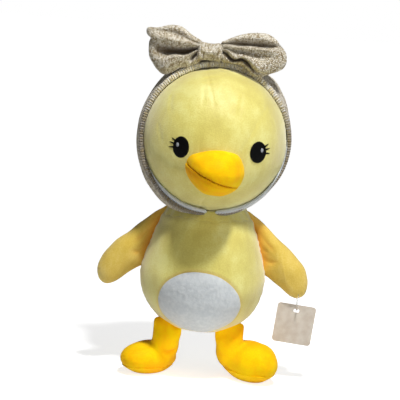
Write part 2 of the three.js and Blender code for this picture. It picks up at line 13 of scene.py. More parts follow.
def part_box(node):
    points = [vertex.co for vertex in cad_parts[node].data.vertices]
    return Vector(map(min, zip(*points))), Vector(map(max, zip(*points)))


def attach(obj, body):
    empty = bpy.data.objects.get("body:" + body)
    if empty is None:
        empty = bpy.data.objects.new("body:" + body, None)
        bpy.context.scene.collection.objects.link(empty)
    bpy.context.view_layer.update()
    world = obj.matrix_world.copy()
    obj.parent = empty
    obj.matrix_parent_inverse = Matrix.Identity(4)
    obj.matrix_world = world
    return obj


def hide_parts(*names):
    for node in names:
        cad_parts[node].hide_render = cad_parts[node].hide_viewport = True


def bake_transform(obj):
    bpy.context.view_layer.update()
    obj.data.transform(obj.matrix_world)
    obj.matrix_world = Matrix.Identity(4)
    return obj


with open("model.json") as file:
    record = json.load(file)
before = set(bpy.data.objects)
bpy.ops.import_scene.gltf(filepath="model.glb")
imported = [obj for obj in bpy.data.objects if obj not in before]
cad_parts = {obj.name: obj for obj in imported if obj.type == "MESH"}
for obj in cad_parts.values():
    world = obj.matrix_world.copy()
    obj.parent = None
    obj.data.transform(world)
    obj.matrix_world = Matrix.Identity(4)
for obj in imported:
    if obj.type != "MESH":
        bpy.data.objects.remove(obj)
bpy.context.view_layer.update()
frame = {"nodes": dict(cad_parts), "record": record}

# %% [markdown]
# ## Where the duck stands
# The solids' origin lies under the middle of the whole box, hang tag and all, so the duck's
# own middle is a little to one side of it. Each piece is made round the duck's middle, with
# the floor at zero, and moved onto its solid once it is finished.
# %% Sizes and the middle
MM = 0.001
low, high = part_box("body_fill")
DUCK_MIDDLE = Vector(((low.x + high.x) / 2, (low.y + high.y) / 2, 0))
HEAD_MIDDLE = np.array((0, 0, 201)) * MM
HEAD_HALF = np.array((61.5, 58, 61)) * MM
BODY_MIDDLE = np.array((0, 0, 86)) * MM
BODY_HALF = np.array((53.2, 46, 52.4)) * MM
FACE_TURN = math.radians(5.2)
print("middle", [round(value / MM, 2) for value in DUCK_MIDDLE])

# %% [markdown]
# ## The camera
# The photograph was taken from straight ahead and a little above, with the duck leaning a few
# degrees to one side. A long lens from about a metre away gives the same flat perspective, and
# the lean comes from rolling the camera, so that the duck itself stands upright.
# %% Camera
PIXEL = 0.843 * MM
CAMERA_DISTANCE = 1100 * MM
CAMERA_RISE = math.radians(8)
CAMERA_ROLL = math.radians(4.5)
PICTURE_WIDE = 400
AIM = Vector((-7.3, 0, 149.8)) * MM
SENSOR = 36

camera_data = bpy.data.cameras.new("photo_camera")
camera_data.sensor_width = SENSOR
camera_data.lens = SENSOR * CAMERA_DISTANCE / (PICTURE_WIDE * PIXEL)
camera = bpy.data.objects.new("photo_camera", camera_data)
bpy.context.scene.collection.objects.link(camera)
away = Vector((0, -math.cos(CAMERA_RISE), math.sin(CAMERA_RISE)))
camera.location = DUCK_MIDDLE + AIM + CAMERA_DISTANCE * away
facing = (-away).to_track_quat("-Z", "Y").to_matrix()
camera.rotation_euler = (facing @ Matrix.Rotation(CAMERA_ROLL, 3, "Z")).to_euler()
bpy.context.scene.camera = camera
print("lens", round(camera_data.lens, 1))

# %% [markdown]
# ## Colours and nodes
# Colours are written as on a screen and turned to linear light by one function. A second small
# function adds a shader node with its settings and links, and the rest build on it, so that
# each finish below is only a few lines.
# %% Node helpers
def linear(hex_colour):
    channels = [int(hex_colour[i : i + 2], 16) / 255 for i in (1, 3, 5)]
    bright = [c / 12.92 if c <= 0.04045 else ((c + 0.055) / 1.055) ** 2.4 for c in channels]
    return (*bright, 1.0)


def add_node(owner, kind, settings=None, **links):
    """A node of a material or the surround. A link named i0 goes to the node's first socket."""
    node = owner.node_tree.nodes.new(kind)
    for key, value in (settings or {}).items():
        if hasattr(node, key):
            setattr(node, key, value)
        else:
            node.inputs[key].default_value = value
    for name, source in links.items():
        target = int(name[1:]) if name[1:].isdigit() else name.replace("_", " ")
        owner.node_tree.links.new(source, node.inputs[target])
    return node


def seen_straight(owner):
    """1 for what the camera sees directly or through clear nylon, and 0 for all other light."""
    rays = add_node(owner, "ShaderNodeLightPath").outputs
    either = {"i0": rays["Is Camera Ray"], "i1": rays["Is Transmission Ray"]}
    return add_node(owner, "ShaderNodeMath", {"operation": "MAXIMUM"}, **either).outputs[0]


def start_material(name):
    """A bare material, and the place on the piece that its patterns read."""
    material = bpy.data.materials.new(name)
    material.use_nodes = True
    material.node_tree.nodes.clear()
    return material, add_node(material, "ShaderNodeTexCoord").outputs["Object"]


def finish_material(material, shader):
    out = add_node(material, "ShaderNodeOutputMaterial")
    material.node_tree.links.new(shader.outputs[0], out.inputs["Surface"])
    return material


def principled(material, settings, **links):
    shader = add_node(material, "ShaderNodeBsdfPrincipled", settings, **links)
    return finish_material(material, shader)


def cloudy(material, place, size, detail):
    settings = {"Scale": 1 / size, "Detail": detail}
    return add_node(material, "ShaderNodeTexNoise", settings, Vector=place).outputs[0]


def bumps(material, height, strength, tall):
    settings = {"Strength": strength, "Distance": tall}
    return add_node(material, "ShaderNodeBump", settings, Height=height).outputs[0]


def ramp(material, source, stops):
    node = add_node(material, "ShaderNodeValToRGB", Fac=source)
    stops_now = node.color_ramp.elements
    while len(stops_now) < len(stops):
        stops_now.new(0.5)
    for stop, (place, colour) in zip(stops_now, stops):
        stop.position = place
        stop.color = linear(colour)
    return node.outputs["Color"]


def blend_of(material, factor, first, second):
    """A share of the second value in the first, both plain numbers."""
    return add_node(material, "ShaderNodeMix", {"Factor": factor}, A=first, B=second).outputs[0]


def tint_towards(material, share, tint, other):
    """The tint where the share is 0 and the other colour where it is 1."""
    node = add_node(material, "ShaderNodeMix", {"data_type": "RGBA"}, Factor=share)
    material.node_tree.links.new(tint, node.inputs["A"])
    node.inputs["B"].default_value = linear(other)
    return node.outputs["Result"]


def with_painted_shade(material, tint, deep):
    """The tint, turning to the deep colour as painted shade where the mesh is marked for it."""
    crease_and_painted_shade = add_node(material, "ShaderNodeAttribute", {"attribute_name": "crease_and_painted_shade"})
    return tint_towards(material, crease_and_painted_shade.outputs["Fac"], tint, deep)


# %% [markdown]
# ## Light
# One small lamp high in front throws the shadow of the bill down the chest. A broad softbox
# on the duck's left and a dim white surround fill that shadow, so that no surface is black or
# clips, and a very weak narrow lamp near the floor lifts the fronts of the feet. The surround is
# white only to the camera, where it is the background.
# %% Light
FILL = 0.11
world = bpy.data.worlds.new("white_surround")
bpy.context.scene.world = world
world.use_nodes = True
surround = world.node_tree.nodes["Background"]
surround.inputs["Color"].default_value = (1, 1, 1, 1)
level = add_node(world, "ShaderNodeMix", {"A": FILL, "B": 1.0}, Factor=seen_straight(world))
world.node_tree.links.new(level.outputs[0], surround.inputs["Strength"])


def add_lamp(name, place, size, power, aim=HEAD_MIDDLE, spread=180):
    lamp_data = bpy.data.lights.new(name, "AREA")
    lamp_data.size = size
    lamp_data.energy = power
    lamp_data.spread = math.radians(spread)
    lamp = bpy.data.objects.new(name, lamp_data)
    bpy.context.scene.collection.objects.link(lamp)
    lamp.location = DUCK_MIDDLE + Vector(place)
    towards = Vector(aim) + DUCK_MIDDLE - lamp.location
    lamp.rotation_euler = towards.to_track_quat("-Z", "Y").to_euler()
    print(name, "watts", power)


add_lamp("high_front_lamp", (0.15, -0.48, 1.2), 0.11, 13)
add_lamp("side_softbox", (0.95, -0.75, 0.5), 0.9, 3.4)
add_lamp("low_lamp", (0.05, -0.7, 0.03), 0.05, 0.0095, aim=(0, 0, 0.012), spread=10)
bpy.context.scene.view_settings.view_transform = "Standard"


# %% [markdown]
# ## Velour
# Crystal velour is a knitted polyester with a short cut pile. Brushing lays the pile in
# patches and long strokes that look lighter or darker, and its tips scatter a pale sheen
# instead of a shine. Noises give the patches, strokes and pile. Inside a seam or a crease the
# colour turns to a deeper one as painted shade, which `sew` marks on the mesh as an attribute.
# %% Velour
BRUSHED_PATCH = 26 * MM
BRUSH_STROKE = np.array((6, 6, 22)) * MM
PILE_TUFT = 1.1 * MM
NAP_STOPS = (0.4, 0.5, 0.6)


def velour(name, shade, middle, light, deep, sheen=1.0):
    material, place = start_material(name)
    brushed = add_node(material, "ShaderNodeMapping", {"Scale": 1 / BRUSH_STROKE}, Vector=place)
    patches = cloudy(material, place, BRUSHED_PATCH, 3.0)
    pile = cloudy(material, place, PILE_TUFT, 3.0)
    strokes = cloudy(material, brushed.outputs[0], 1, 3.0)
    nap = blend_of(material, 0.25, patches, strokes)
    nap = blend_of(material, 0.25, nap, pile)
    tint = ramp(material, nap, list(zip(NAP_STOPS, (shade, middle, light))))
    shine = {"Specular IOR Level": sheen, "Sheen Weight": 0.7 * sheen, "Sheen Roughness": 0.6}
    return principled(
        material,
        {"Roughness": 0.58, **shine},
        # Painted shade: the nap's tint turns to the deep colour where the mesh is marked
        Base_Color=with_painted_shade(material, tint, deep),
        Normal=bumps(material, nap, 0.6, 1.6 * MM),
    )


# %% [markdown]
# ## Melange knit
# The hood and bow are a stocking-stitch knit of beige, cream and brown fibres. Each stitch is
# a small slanted leg of yarn, and its colour changes along the yarn, which gives the speckle.
# The troughs between the legs are darkened with painted shade. The pattern follows the piece's
# own map, laid out in metres, so a stitch keeps its real size.
# %% Knit
WALE = 1.9 * MM
COURSE = 1.35 * MM
YARN = 0.9 * MM
YARN_SHARE = 0.45
STITCH_MIDDLE = 0.25  # of each leg of a stitch, across a wale from its middle
STITCH_FALL = 4.2  # how fast the leg falls away to its edges
MELANGE_STOPS = (0.2, 0.36, 0.52, 0.74)


def knit(name, dark="#8B7757", brown="#BBAA88", beige="#DAD0B7", cream="#F2ECDE", painted_gap_shade=0.65):
    material, place = start_material(name)

    def calculate(operation, first, second=None):
        node = add_node(material, "ShaderNodeMath", {"operation": operation})
        for socket, value in enumerate((first, second)):
            if isinstance(value, (int, float)):
                node.inputs[socket].default_value = value
            elif value is not None:
                material.node_tree.links.new(value, node.inputs[socket])
        return node.outputs[0]

    cloth = add_node(material, "ShaderNodeUVMap", {"uv_map": "cloth"})
    split = add_node(material, "ShaderNodeSeparateXYZ", Vector=cloth.outputs[0])
    wales = calculate("DIVIDE", split.outputs[0], WALE)
    aside = calculate("ABSOLUTE", calculate("SUBTRACT", calculate("FRACT", wales), 0.5))
    courses = calculate("ADD", calculate("DIVIDE", split.outputs[1], COURSE), aside)
    along = calculate("SUBTRACT", calculate("FRACT", courses), 0.5)
    leg = calculate("COSINE", calculate("MULTIPLY", along, math.pi))
    off_middle = calculate("SUBTRACT", aside, STITCH_MIDDLE)
    trough = calculate("COSINE", calculate("MULTIPLY", off_middle, STITCH_FALL))
    height = calculate("MULTIPLY", leg, trough)
    half_wales = calculate("FLOOR", calculate("MULTIPLY", wales, 2))
    stitch = add_node(
        material, "ShaderNodeCombineXYZ", X=half_wales, Y=calculate("FLOOR", courses)
    ).outputs[0]
    flat = {"noise_dimensions": "2D"}
    speckle = add_node(material, "ShaderNodeTexWhiteNoise", flat, Vector=stitch).outputs[0]
    mixed = blend_of(material, YARN_SHARE, speckle, cloudy(material, place, YARN, 2.0))
    tint = ramp(material, mixed, list(zip(MELANGE_STOPS, (dark, brown, beige, cream))))
    # Painted shade: the troughs between the stitch legs are multiplied towards dark brown
    multiply = {"data_type": "RGBA", "blend_type": "MULTIPLY", "Factor": painted_gap_shade}
    shaded = add_node(material, "ShaderNodeMix", multiply)
    material.node_tree.links.new(tint, shaded.inputs["A"])
    dim = ramp(material, height, [(0.05, "#5A4A34"), (0.6, "#FFFFFF")])
    material.node_tree.links.new(dim, shaded.inputs["B"])
    wool = {"Roughness": 0.95, "Specular IOR Level": 0.1, "Sheen Weight": 0.3}
    return principled(
        material,
        {**wool, "Sheen Roughness": 0.6},
        # Painted shade: the knit turns deep brown where the bow's hollows and the band's sides are
        # marked
        Base_Color=with_painted_shade(material, shaded.outputs["Result"], "#5E4C32"),
        Normal=bumps(material, height, 0.7, 0.7 * MM),
    )


# %% [markdown]
# ## White plush, thread, fibre, card and nylon
# The belly and the hood's lining are a white plush with a longer, softer pile than velour. The
# eyes are satin stitch, whose threads lie side by side and shine across their length. The rest
# are hidden stuffing, the tag's uncoated card and its clear nylon loop.
# %% Other finishes
TUFT = 3.2 * MM
THREAD = 0.5 * MM
WAVE_RATE = math.pi / 10  # what the Wave Texture's scale is for one band in a metre
STRAND = 4 * MM
PULP = 6 * MM


def plush(name):
    material, place = start_material(name)
    tufts = cloudy(material, place, TUFT, 4.0)
    tint = ramp(material, tufts, [(0.25, "#C2C8CB"), (0.5, "#CBD0D2"), (0.75, "#D6DADB")])
    soft = {"Roughness": 0.95, "Specular IOR Level": 0.1, "Sheen Weight": 0.4}
    nap = bumps(material, tufts, 0.5, 1.2 * MM)
    return principled(material, soft, Base_Color=tint, Normal=nap)


def satin_stitch(name, dark, light, shine):
    material, place = start_material(name)
    bands = {"bands_direction": "X", "Scale": WAVE_RATE / (2 * THREAD), "Distortion": 0.6}
    threads = add_node(material, "ShaderNodeTexWave", bands, Vector=place).outputs["Fac"]
    # Painted highlight and painted shade: each thread's ridge is lighter and the groove between threads
    # darker
    tint = ramp(material, threads, [(0.2, dark), (0.8, light)])
    ridges = bumps(material, threads, 0.6, 0.15 * MM)
    glossy = {"Roughness": shine, "Specular IOR Level": 0.08}
    return principled(material, glossy, Base_Color=tint, Normal=ridges)


def plain_fibre(name):
    material, place = start_material(name)
    strands = cloudy(material, place, STRAND, 6.0)
    tint = ramp(material, strands, [(0.3, "#DCDCD6"), (0.7, "#FAFAF6")])
    return principled(material, {"Roughness": 1.0}, Base_Color=tint)


def uncoated_card(name):
    material, place = start_material(name)
    tint = ramp(material, cloudy(material, place, PULP, 5.0), [(0.35, "#CFC3B5"), (0.65, "#DCD4C8")])
    return principled(material, {"Roughness": 0.6, "Specular IOR Level": 0.3}, Base_Color=tint)


def clear_nylon_thread(name):
    material, _ = start_material(name)
    clear = {"Base Color": linear("#F4F4F2"), "IOR": 1.53, "Transmission Weight": 0.85}
    return principled(material, {"Roughness": 0.15, **clear})


FINISH = {
    # The fifth colour of each velour is painted shade for seams, creases and the wing roots
    "yellow_velour": velour("yellow_crystal_velour", "#CFBF42", "#DACD55", "#E5DD76", "#D09C1C"),
    "gold_velour": velour("gold_crystal_velour", "#DCB838", "#E4C34A", "#EDD068", "#FFA60E", 0.5),
    "amber_velour": velour("amber_crystal_velour", "#FFB800", "#FFC600", "#FFD400", "#EE8600", 0.05),
    "melange_knit": knit("melange_stocking_stitch"),
    # The rib finish is the same melange yarn in far lighter colours with shallower gaps: painted light,
    # so that the band in the bow's shadow looks lit
    "ribbed_knit": knit("painted_light_rib_stitch", "#DAC89A", "#EADDB8", "#F8F2E0", "#FFFFFF", 0.3),
    "white_plush": plush("white_brushed_plush"),
    "black_thread": satin_stitch("black_satin_stitch", "#020202", "#0A0A0B", 0.5),
    "pale_thread": satin_stitch("grey_satin_stitch", "#7E8288", "#B4B8BC", 0.4),
    "polyester_fibre": plain_fibre("polyester_stuffing"),
    "card": uncoated_card("uncoated_tag_card"),
    "clear_nylon": clear_nylon_thread("clear_nylon_loop"),
}
for subpart in frame["record"]["subparts"]:
    solid = frame["nodes"][subpart["node"]]
    solid.data.materials.clear()
    solid.data.materials.append(FINISH[subpart["material_slot"]])
print("finishes", len(FINISH))


# %% [markdown]
# ## Helpers for sewn pieces
# A stuffed piece starts as a ball and a cloth piece as a grid. `mould` gives every point of it
# the place that a piece's own form asks for. `sew` pulls a seam in along a line, puckers the
# cloth beside it and paints shade along it, and `rumple` adds the slight unevenness that stuffing
# leaves.
# %% Piece helpers
WELD = 0.02 * MM
POINTS_AT_ONCE = 4000


def choose(*pieces):
    """Selects these pieces and nothing else. The first is the one that tools work on."""
    bpy.ops.object.select_all(action="DESELECT")
    for piece in pieces:
        piece.select_set(True)
    bpy.context.view_layer.objects.active = pieces[0]


def cloth_grid(name, columns, rows):
    bpy.ops.object.select_all(action="DESELECT")
    bpy.ops.mesh.primitive_grid_add(x_subdivisions=columns, y_subdivisions=rows, size=1)
    piece = bpy.context.active_object
    piece.name = name
    return piece


def points_of(piece):
    points = np.empty(3 * len(piece.data.vertices))
    piece.data.vertices.foreach_get("co", points)
    return points.reshape(-1, 3)


def normals_of(piece):
    normals = np.empty(3 * len(piece.data.vertices))
    piece.data.vertices.foreach_get("normal", normals)
    return normals.reshape(-1, 3)


def place_points(piece, points):
    piece.data.vertices.foreach_set("co", np.asarray(points, float).ravel())
    piece.data.update()


def mould(piece, form):
    place_points(piece, form(points_of(piece)))


def turn_outwards(piece):
    """Joins the edges that meet and turns every face outwards."""
    choose(piece)
    bpy.ops.object.mode_set(mode="EDIT")
    bpy.ops.mesh.select_all(action="SELECT")
    bpy.ops.mesh.remove_doubles(threshold=WELD)
    bpy.ops.mesh.normals_make_consistent(inside=False)
    bpy.ops.object.mode_set(mode="OBJECT")


def ball(name, columns, rows):
    """A ball of radius 1, rolled up from a grid and joined along its edges."""
    piece = cloth_grid(name, columns, rows)
    turn, tilt = points_of(piece)[:, :2].T * np.array([[2 * math.pi], [math.pi]])
    around = np.stack([np.cos(turn), np.sin(turn)], axis=1) * np.cos(tilt)[:, None]
    place_points(piece, np.column_stack([around, np.sin(tilt)]))
    turn_outwards(piece)
    return piece


def ease(share):
    """0 up to 0, 1 from 1 on, and a smooth rise between them."""
    share = np.clip(share, 0, 1)
    return share * share * (3 - 2 * share)


def smooth_between(places, values, at):
    """A smooth curve through the values, at any place between the first and the last."""
    places, values = np.asarray(places, float), np.asarray(values, float)
    slopes = np.gradient(values, places)
    i = np.clip(np.searchsorted(places, at) - 1, 0, len(places) - 2)
    gap = places[i + 1] - places[i]
    t = np.clip((at - places[i]) / gap, 0, 1)
    start_slope = t * (1 - t) ** 2 * gap * slopes[i]
    end_slope = t * t * (t - 1) * gap * slopes[i + 1]
    return values[i] + ease(t) * (values[i + 1] - values[i]) + start_slope + end_slope


def fade(distance, reach):
    return np.exp(-((distance / reach) ** 2))


def smooth_line(corners, step=0.5 * MM):
    """Points close together on a smooth line through the corners, and how far along each is."""
    corners = np.asarray(corners, float)
    lengths = np.linalg.norm(np.diff(corners, axis=0), axis=1)
    ends = np.concatenate([[0], np.cumsum(lengths)])
    along = np.linspace(0, ends[-1], max(int(ends[-1] / step), 2))
    columns = [smooth_between(ends, column, along) for column in corners.T]
    return np.stack(columns, axis=1), along


def nearest_on(line, along, points):
    """Each point's distance from the line and the place along it."""
    distance = np.empty(len(points))
    place = np.empty(len(points))
    for start in range(0, len(points), POINTS_AT_ONCE):
        rows = slice(start, start + POINTS_AT_ONCE)
        apart = np.linalg.norm(points[rows, None] - line[None], axis=2)
        distance[rows] = apart.min(1)
        place[rows] = along[apart.argmin(1)]
    return distance, place


def mark_painted_shade(piece, near, share):
    """Remembers, on the mesh, how much painted shade each of these points gets."""
    layer = piece.data.attributes.get("crease_and_painted_shade")
    layer = layer or piece.data.attributes.new("crease_and_painted_shade", "FLOAT", "POINT")
    values = np.zeros(len(piece.data.vertices))
    layer.data.foreach_get("value", values)
    values[near] = np.maximum(values[near], share)
    layer.data.foreach_set("value", values)


def sew(piece, corners, width, depth, pucker=0.0, every=6 * MM, reach=6 * MM, painted_shade=0.5):
    """A seam or a fold: a narrow dip along the line, with puckers beside it and painted shade along it.
    """
    line, along = smooth_line(corners)
    points, normals = points_of(piece), normals_of(piece)
    margin = 3 * max(reach, width)
    near = np.where(
        (points > line.min(0) - margin).all(1) & (points < line.max(0) + margin).all(1)
    )[0]
    distance, place = nearest_on(line, along, points[near])
    uneven = np.array([noise.noise(Vector((s / (2 * every), 0.3, 0.7))) for s in place])
    wave = (1 + np.sin(2 * math.pi * (place / every + uneven))) / 2
    ends = np.minimum(place, along[-1] - place)
    taper = np.clip(ends / (3 * width) + 0.25, 0, 1)
    pull = depth * taper * fade(distance, width) + pucker * wave * fade(distance, reach)
    points[near] -= normals[near] * pull[:, None]
    place_points(piece, points)
    # Painted shade along the seam, kept on the mesh for the material
    if painted_shade:
        mark_painted_shade(piece, near, painted_shade * taper * fade(distance, 1.5 * width))


def rumple(piece, size, height, seed):
    """Swells and dents as wide as the size, the same each time for the same seed."""
    points, normals = points_of(piece), normals_of(piece)
    shift = Vector((seed, 0, 0))
    lift = np.array([noise.noise(Vector(point) / size + shift) for point in points])
    place_points(piece, points + normals * (height * lift)[:, None])


def outline_radius(corners, middle, angles, count=720):
    """How far a closed outline is from its middle at each angle, smoothly through its corners."""
    corners = np.asarray(corners, float) * MM
    ring = np.arange(len(corners) + 6)
    wrapped = np.concatenate([corners[-3:], corners, corners[:3]])
    at = np.linspace(3, len(corners) + 3, count)
    x = smooth_between(ring, wrapped[:, 0], at) - middle[0]
    z = smooth_between(ring, wrapped[:, 1], at) - middle[1]
    turns = np.arctan2(z, x)
    order = np.argsort(turns)
    return np.interp(angles, turns[order], np.hypot(x, z)[order], period=2 * math.pi)


def lying_ball(name, columns, rows):
    """A ball whose poles are in front and behind."""
    piece = ball(name, columns, rows)
    mould(piece, lambda points: points[:, [0, 2, 1]] * (1, -1, 1))
    return piece


def map_cloth(piece, across, up):
    """Lays the piece's cloth out flat, in metres, for the patterns that follow it."""
    layer = piece.data.uv_layers.get("cloth") or piece.data.uv_layers.new(name="cloth")
    corners = np.empty(len(piece.data.loops), int)
    piece.data.loops.foreach_get("vertex_index", corners)
    flat = np.stack([across, up], axis=1)[corners]
    layer.data.foreach_set("uv", flat.ravel())
    piece.data.uv_layers.active = layer


def dress(piece, body, slot, *nodes, fill=None, finish=None):
    """Puts a piece in its place on the duck, with its finish, its body and its solids."""
    piece.data.transform(Matrix.Translation(DUCK_MIDDLE))
    piece.data.materials.clear()
    piece.data.materials.append(FINISH[finish or slot])
    choose(piece)
    bpy.ops.object.shade_smooth()
    if nodes:
        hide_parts(*nodes)
    if body:
        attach(piece, body)
    print(piece.name, "faces", len(piece.data.polygons))


# %% [markdown]
# ## The head
# The head is a firm ball sewn from two face panels and a back panel. The seam down its
# forehead is pulled in a little, and the velour puckers beside it.
# %% Head
def on_face(x, z):
    """Points of the face at places seen from the front, measured from its middle."""
    x, z = np.asarray(x, float), np.asarray(z, float)
    depth = np.sqrt(np.clip(1 - (x / HEAD_HALF[0]) ** 2 - (z / HEAD_HALF[2]) ** 2, 0, 1))
    return np.stack([x, -HEAD_HALF[1] * depth, z], axis=-1) + HEAD_MIDDLE


head = ball("head_velour", 260, 180)
mould(head, lambda points: HEAD_MIDDLE + points * HEAD_HALF)
# Seams and creases as places across and up from the middle of the face, in millimetres
HEAD_SEAMS = (
    ((-10.5, 60), (-8.5, 54), (-6, 47), (-3, 37), (-1.3, 31)),
    ((0, -36), (-3, -43), (-6, -50), (-7, -58)),
)
HEAD_CREASES = (
    ((35, 24), (32.7, 18.2), (28.4, 8.6), (24, 0), (19.4, -7)),
    ((-45.8, 15), (-43.7, 6), (-41, -2)),
    ((-11.3, 47), (-10.6, 38), (-11, 30)),
    ((20, 42), (19, 33), (18, 22)),
    ((-36.5, 38), (-37, 30), (-36, 22)),
    ((42, 34), (37, 26)),
    ((6, 52), (8, 44), (9, 35)),
)
# Painted shade, faintly, along the seams; the creases below get none
for corners in HEAD_SEAMS:
    line = on_face(*(np.array(corners).T * MM))
    sew(head, line, 0.9 * MM, 0.45 * MM, 0.3 * MM, 10 * MM, painted_shade=0.06)
for corners in HEAD_CREASES:
    sew(head, on_face(*(np.array(corners).T * MM)), 1.6 * MM, 0.35 * MM, painted_shade=0)
rumple(head, 22 * MM, 0.7 * MM, 1)
head_nodes = ("head_panel_right", "head_panel_left", "head_panel_back", "head_fill")
dress(head, "head", "yellow_velour", *head_nodes, fill=0.95)


# %% [markdown]
# ## The bill
# The bill is a short, full dome of amber velour, sewn from an upper and a lower panel. One
# form is moulded from its outline seen from the front, and bisected along the mouth, so the
# two panels meet exactly. The seam then pulls both edges in and gathers the lower lip.
# %% Bill
BILL_MIDDLE = np.array((2, -46, 180.7)) * MM
BILL_REACH = 31 * MM
BILL_INSIDE = 9 * MM
MOUTH_PLACE = np.array((0, -58, 178)) * MM
MOUTH_UPWARD = Vector((0.4, -0.13, 1)).normalized()
LIP_END = math.radians(115)
LOWER_GATHERS = ((3.6, 0.5), (6.4, 0.3))  # how far below the lip, and how deep, in millimetres
# Round the bill seen from the front, across and up from its middle in millimetres
BILL_OUTLINE = (
    (24.6, 3), (23.8, -5), (18.6, -13.8), (9.3, -19.2), (-2.8, -19.4), (-11.6, -15.8),
    (-18.8, -8), (-23.4, 0.6), (-23.6, 6), (-18.8, 13.6), (-4, 18.8), (9, 19), (19.4, 14.8),
)


def bill_form(points):
    x, y, z = points.T
    turn = np.arctan2(z, x)
    spread = outline_radius(BILL_OUTLINE, (0, 0), turn) * np.hypot(x, z) ** 0.94
    ahead = np.where(y < 0, y * BILL_REACH, y * BILL_INSIDE)
    return BILL_MIDDLE + np.stack([spread * np.cos(turn), ahead, spread * np.sin(turn)], axis=1)


def cut_along(piece, place, upward, keep_above):
    choose(piece)
    bpy.ops.object.mode_set(mode="EDIT")
    bpy.ops.mesh.select_all(action="SELECT")
    bpy.ops.mesh.bisect(
        plane_co=place,
        plane_no=upward,
        use_fill=True,
        clear_inner=keep_above,
        clear_outer=not keep_above,
    )
    bpy.ops.object.mode_set(mode="OBJECT")


def cut_edge(piece, place, upward):
    """The front of the edge that a cut left, from one side round to the other."""
    points = points_of(piece)
    edge = points[np.abs((points - place) @ np.array(upward)) < WELD / 2]
    turn = np.arctan2(edge[:, 0] - place[0], place[1] + BILL_INSIDE - edge[:, 1])
    order = np.argsort(turn)
    return edge[order][np.abs(turn[order]) < LIP_END][::5]


for name, node, keep_above in (
    ("bill_upper_velour", "bill_upper", True),
    ("bill_lower_velour", "bill_lower", False),
):
    bill = ball(name, 300, 150)
    mould(bill, bill_form)
    cut_along(bill, MOUTH_PLACE, MOUTH_UPWARD, keep_above)
    lip = cut_edge(bill, MOUTH_PLACE, MOUTH_UPWARD)
    # Painted shade along the mouth seam
    sew(bill, lip, 0.8 * MM, 0.6 * MM, 0.6 * MM, 2.4 * MM, 2.2 * MM, 0.35)
    if not keep_above:
        for drop, depth in LOWER_GATHERS:
            # Each gather gets painted shade too, at the default share
            sew(bill, lip - (0, -0.6 * MM, drop * MM), 1.1 * MM, depth * MM, 0.2 * MM, 5 * MM, 2 * MM)
    rumple(bill, 9 * MM, 0.5 * MM, 3)
    dress(bill, "head", "amber_velour", node, *([] if keep_above else ["bill_fill"]), fill=0.9)
    bpy.ops.object.shade_smooth_by_angle(angle=math.radians(50))


# %% [markdown]
# ## The eyes
# Each eye is an oval of black satin stitch with three lashes, and a small grey oval for the
# glint. Thread stands less than a millimetre off the cloth, so each is a flat ball laid over
# the face.
# %% Eyes
EYE_HALF = np.array((6.6, 8.8)) * MM
EYE_SPACING = 62 * MM
EYE_DROP = 2.6 * MM
LASH_LENGTH = 4.8 * MM
LASH_WIDTH = 1.0 * MM
LASH_ANGLES = (-4, 17, 36)
GLINT_HALF = np.array((1.6, 2.4)) * MM
EYE_RAISED = 0.9 * MM
GLINT_RAISED = 1.15 * MM


def laid_on_face(points, middle, half, raised, turn=0.0, taper=0.0):
    """A flat ball on the face. Its x runs along the turn, and its y gets thinner by the taper."""
    across = points[:, 0] * half[0]
    up = points[:, 1] * half[1] * (1 - taper * (points[:, 0] + 1) / 2)
    x = middle[0] + across * math.cos(turn) - up * math.sin(turn)
    z = middle[1] + across * math.sin(turn) + up * math.cos(turn)
    face = on_face(x, z)
    outward = (face - HEAD_MIDDLE) / HEAD_HALF**2
    outward /= np.linalg.norm(outward, axis=1)[:, None]
    return face + outward * (points[:, 2] * raised)[:, None]


def join_into(piece, *others):
    choose(piece, *others)
    bpy.ops.object.join()


face_middle = HEAD_HALF[1] * math.sin(FACE_TURN)
for word, side in (("right", -1), ("left", 1)):
    middle = np.array((face_middle + side * EYE_SPACING / 2, -EYE_DROP))
    eye = ball("eye_stitch_" + word, 48, 24)
    mould(eye, lambda points: laid_on_face(points, middle, EYE_HALF, EYE_RAISED))
    lashes = []
    for angle in np.radians(LASH_ANGLES):
        turn = angle if side > 0 else math.pi - angle
        out = np.array((math.cos(turn), math.sin(turn)))
        centre = middle + out * (EYE_HALF * 0.8 + LASH_LENGTH / 2)
        lash = ball("lash", 12, 8)
        half = (LASH_LENGTH / 2, LASH_WIDTH)
        mould(lash, lambda points: laid_on_face(points, centre, half, EYE_RAISED / 2, turn, 0.7))
        lashes.append(lash)
    join_into(eye, *lashes)
    dress(eye, "head", "black_thread", "eye_" + word)
    glint = ball("eye_glint_stitch_" + word, 24, 12)
    glint_middle = middle + EYE_HALF * (0.38 * side, 0.2)
    mould(glint, lambda points: laid_on_face(points, glint_middle, GLINT_HALF, GLINT_RAISED))
    dress(glint, "head", "pale_thread", "eye_glint_" + word)


# %% [markdown]
# ## The hood
# The hood is knitted, lined with white plush, and open at the face and at the neck. It is
# pulled up towards the bow, so it stands off the head beside the crown, and its lower front
# edge stands open enough to show the lining. It is a grid whose rows run from the hem to the
# back of the head, and whose two long edges meet behind the neck.
# %% Hood form
HEM_FORWARD = 15 * MM
HEM_LEAN = math.radians(11)
NECK_OPENING = 19.5 * MM
CHIN_HALF_GAP = 3 * MM
CHIN_TIP = 5 * MM
KNIT_THICK = 1.6 * MM
HEM_SEWN = 0.8 * MM  # how far inside the band's outer edge the hood's cloth starts
HEM_LOWEST = 1.9 * MM
BACK_OFF = 2.6 * MM
# Angles back from the face: how soon the hood stands off fully, where it starts to lie closer
# again, and over how much it does
RISES_OVER, SETTLES_FROM, SETTLES_OVER = (math.radians(angle) for angle in (22, 100, 50))
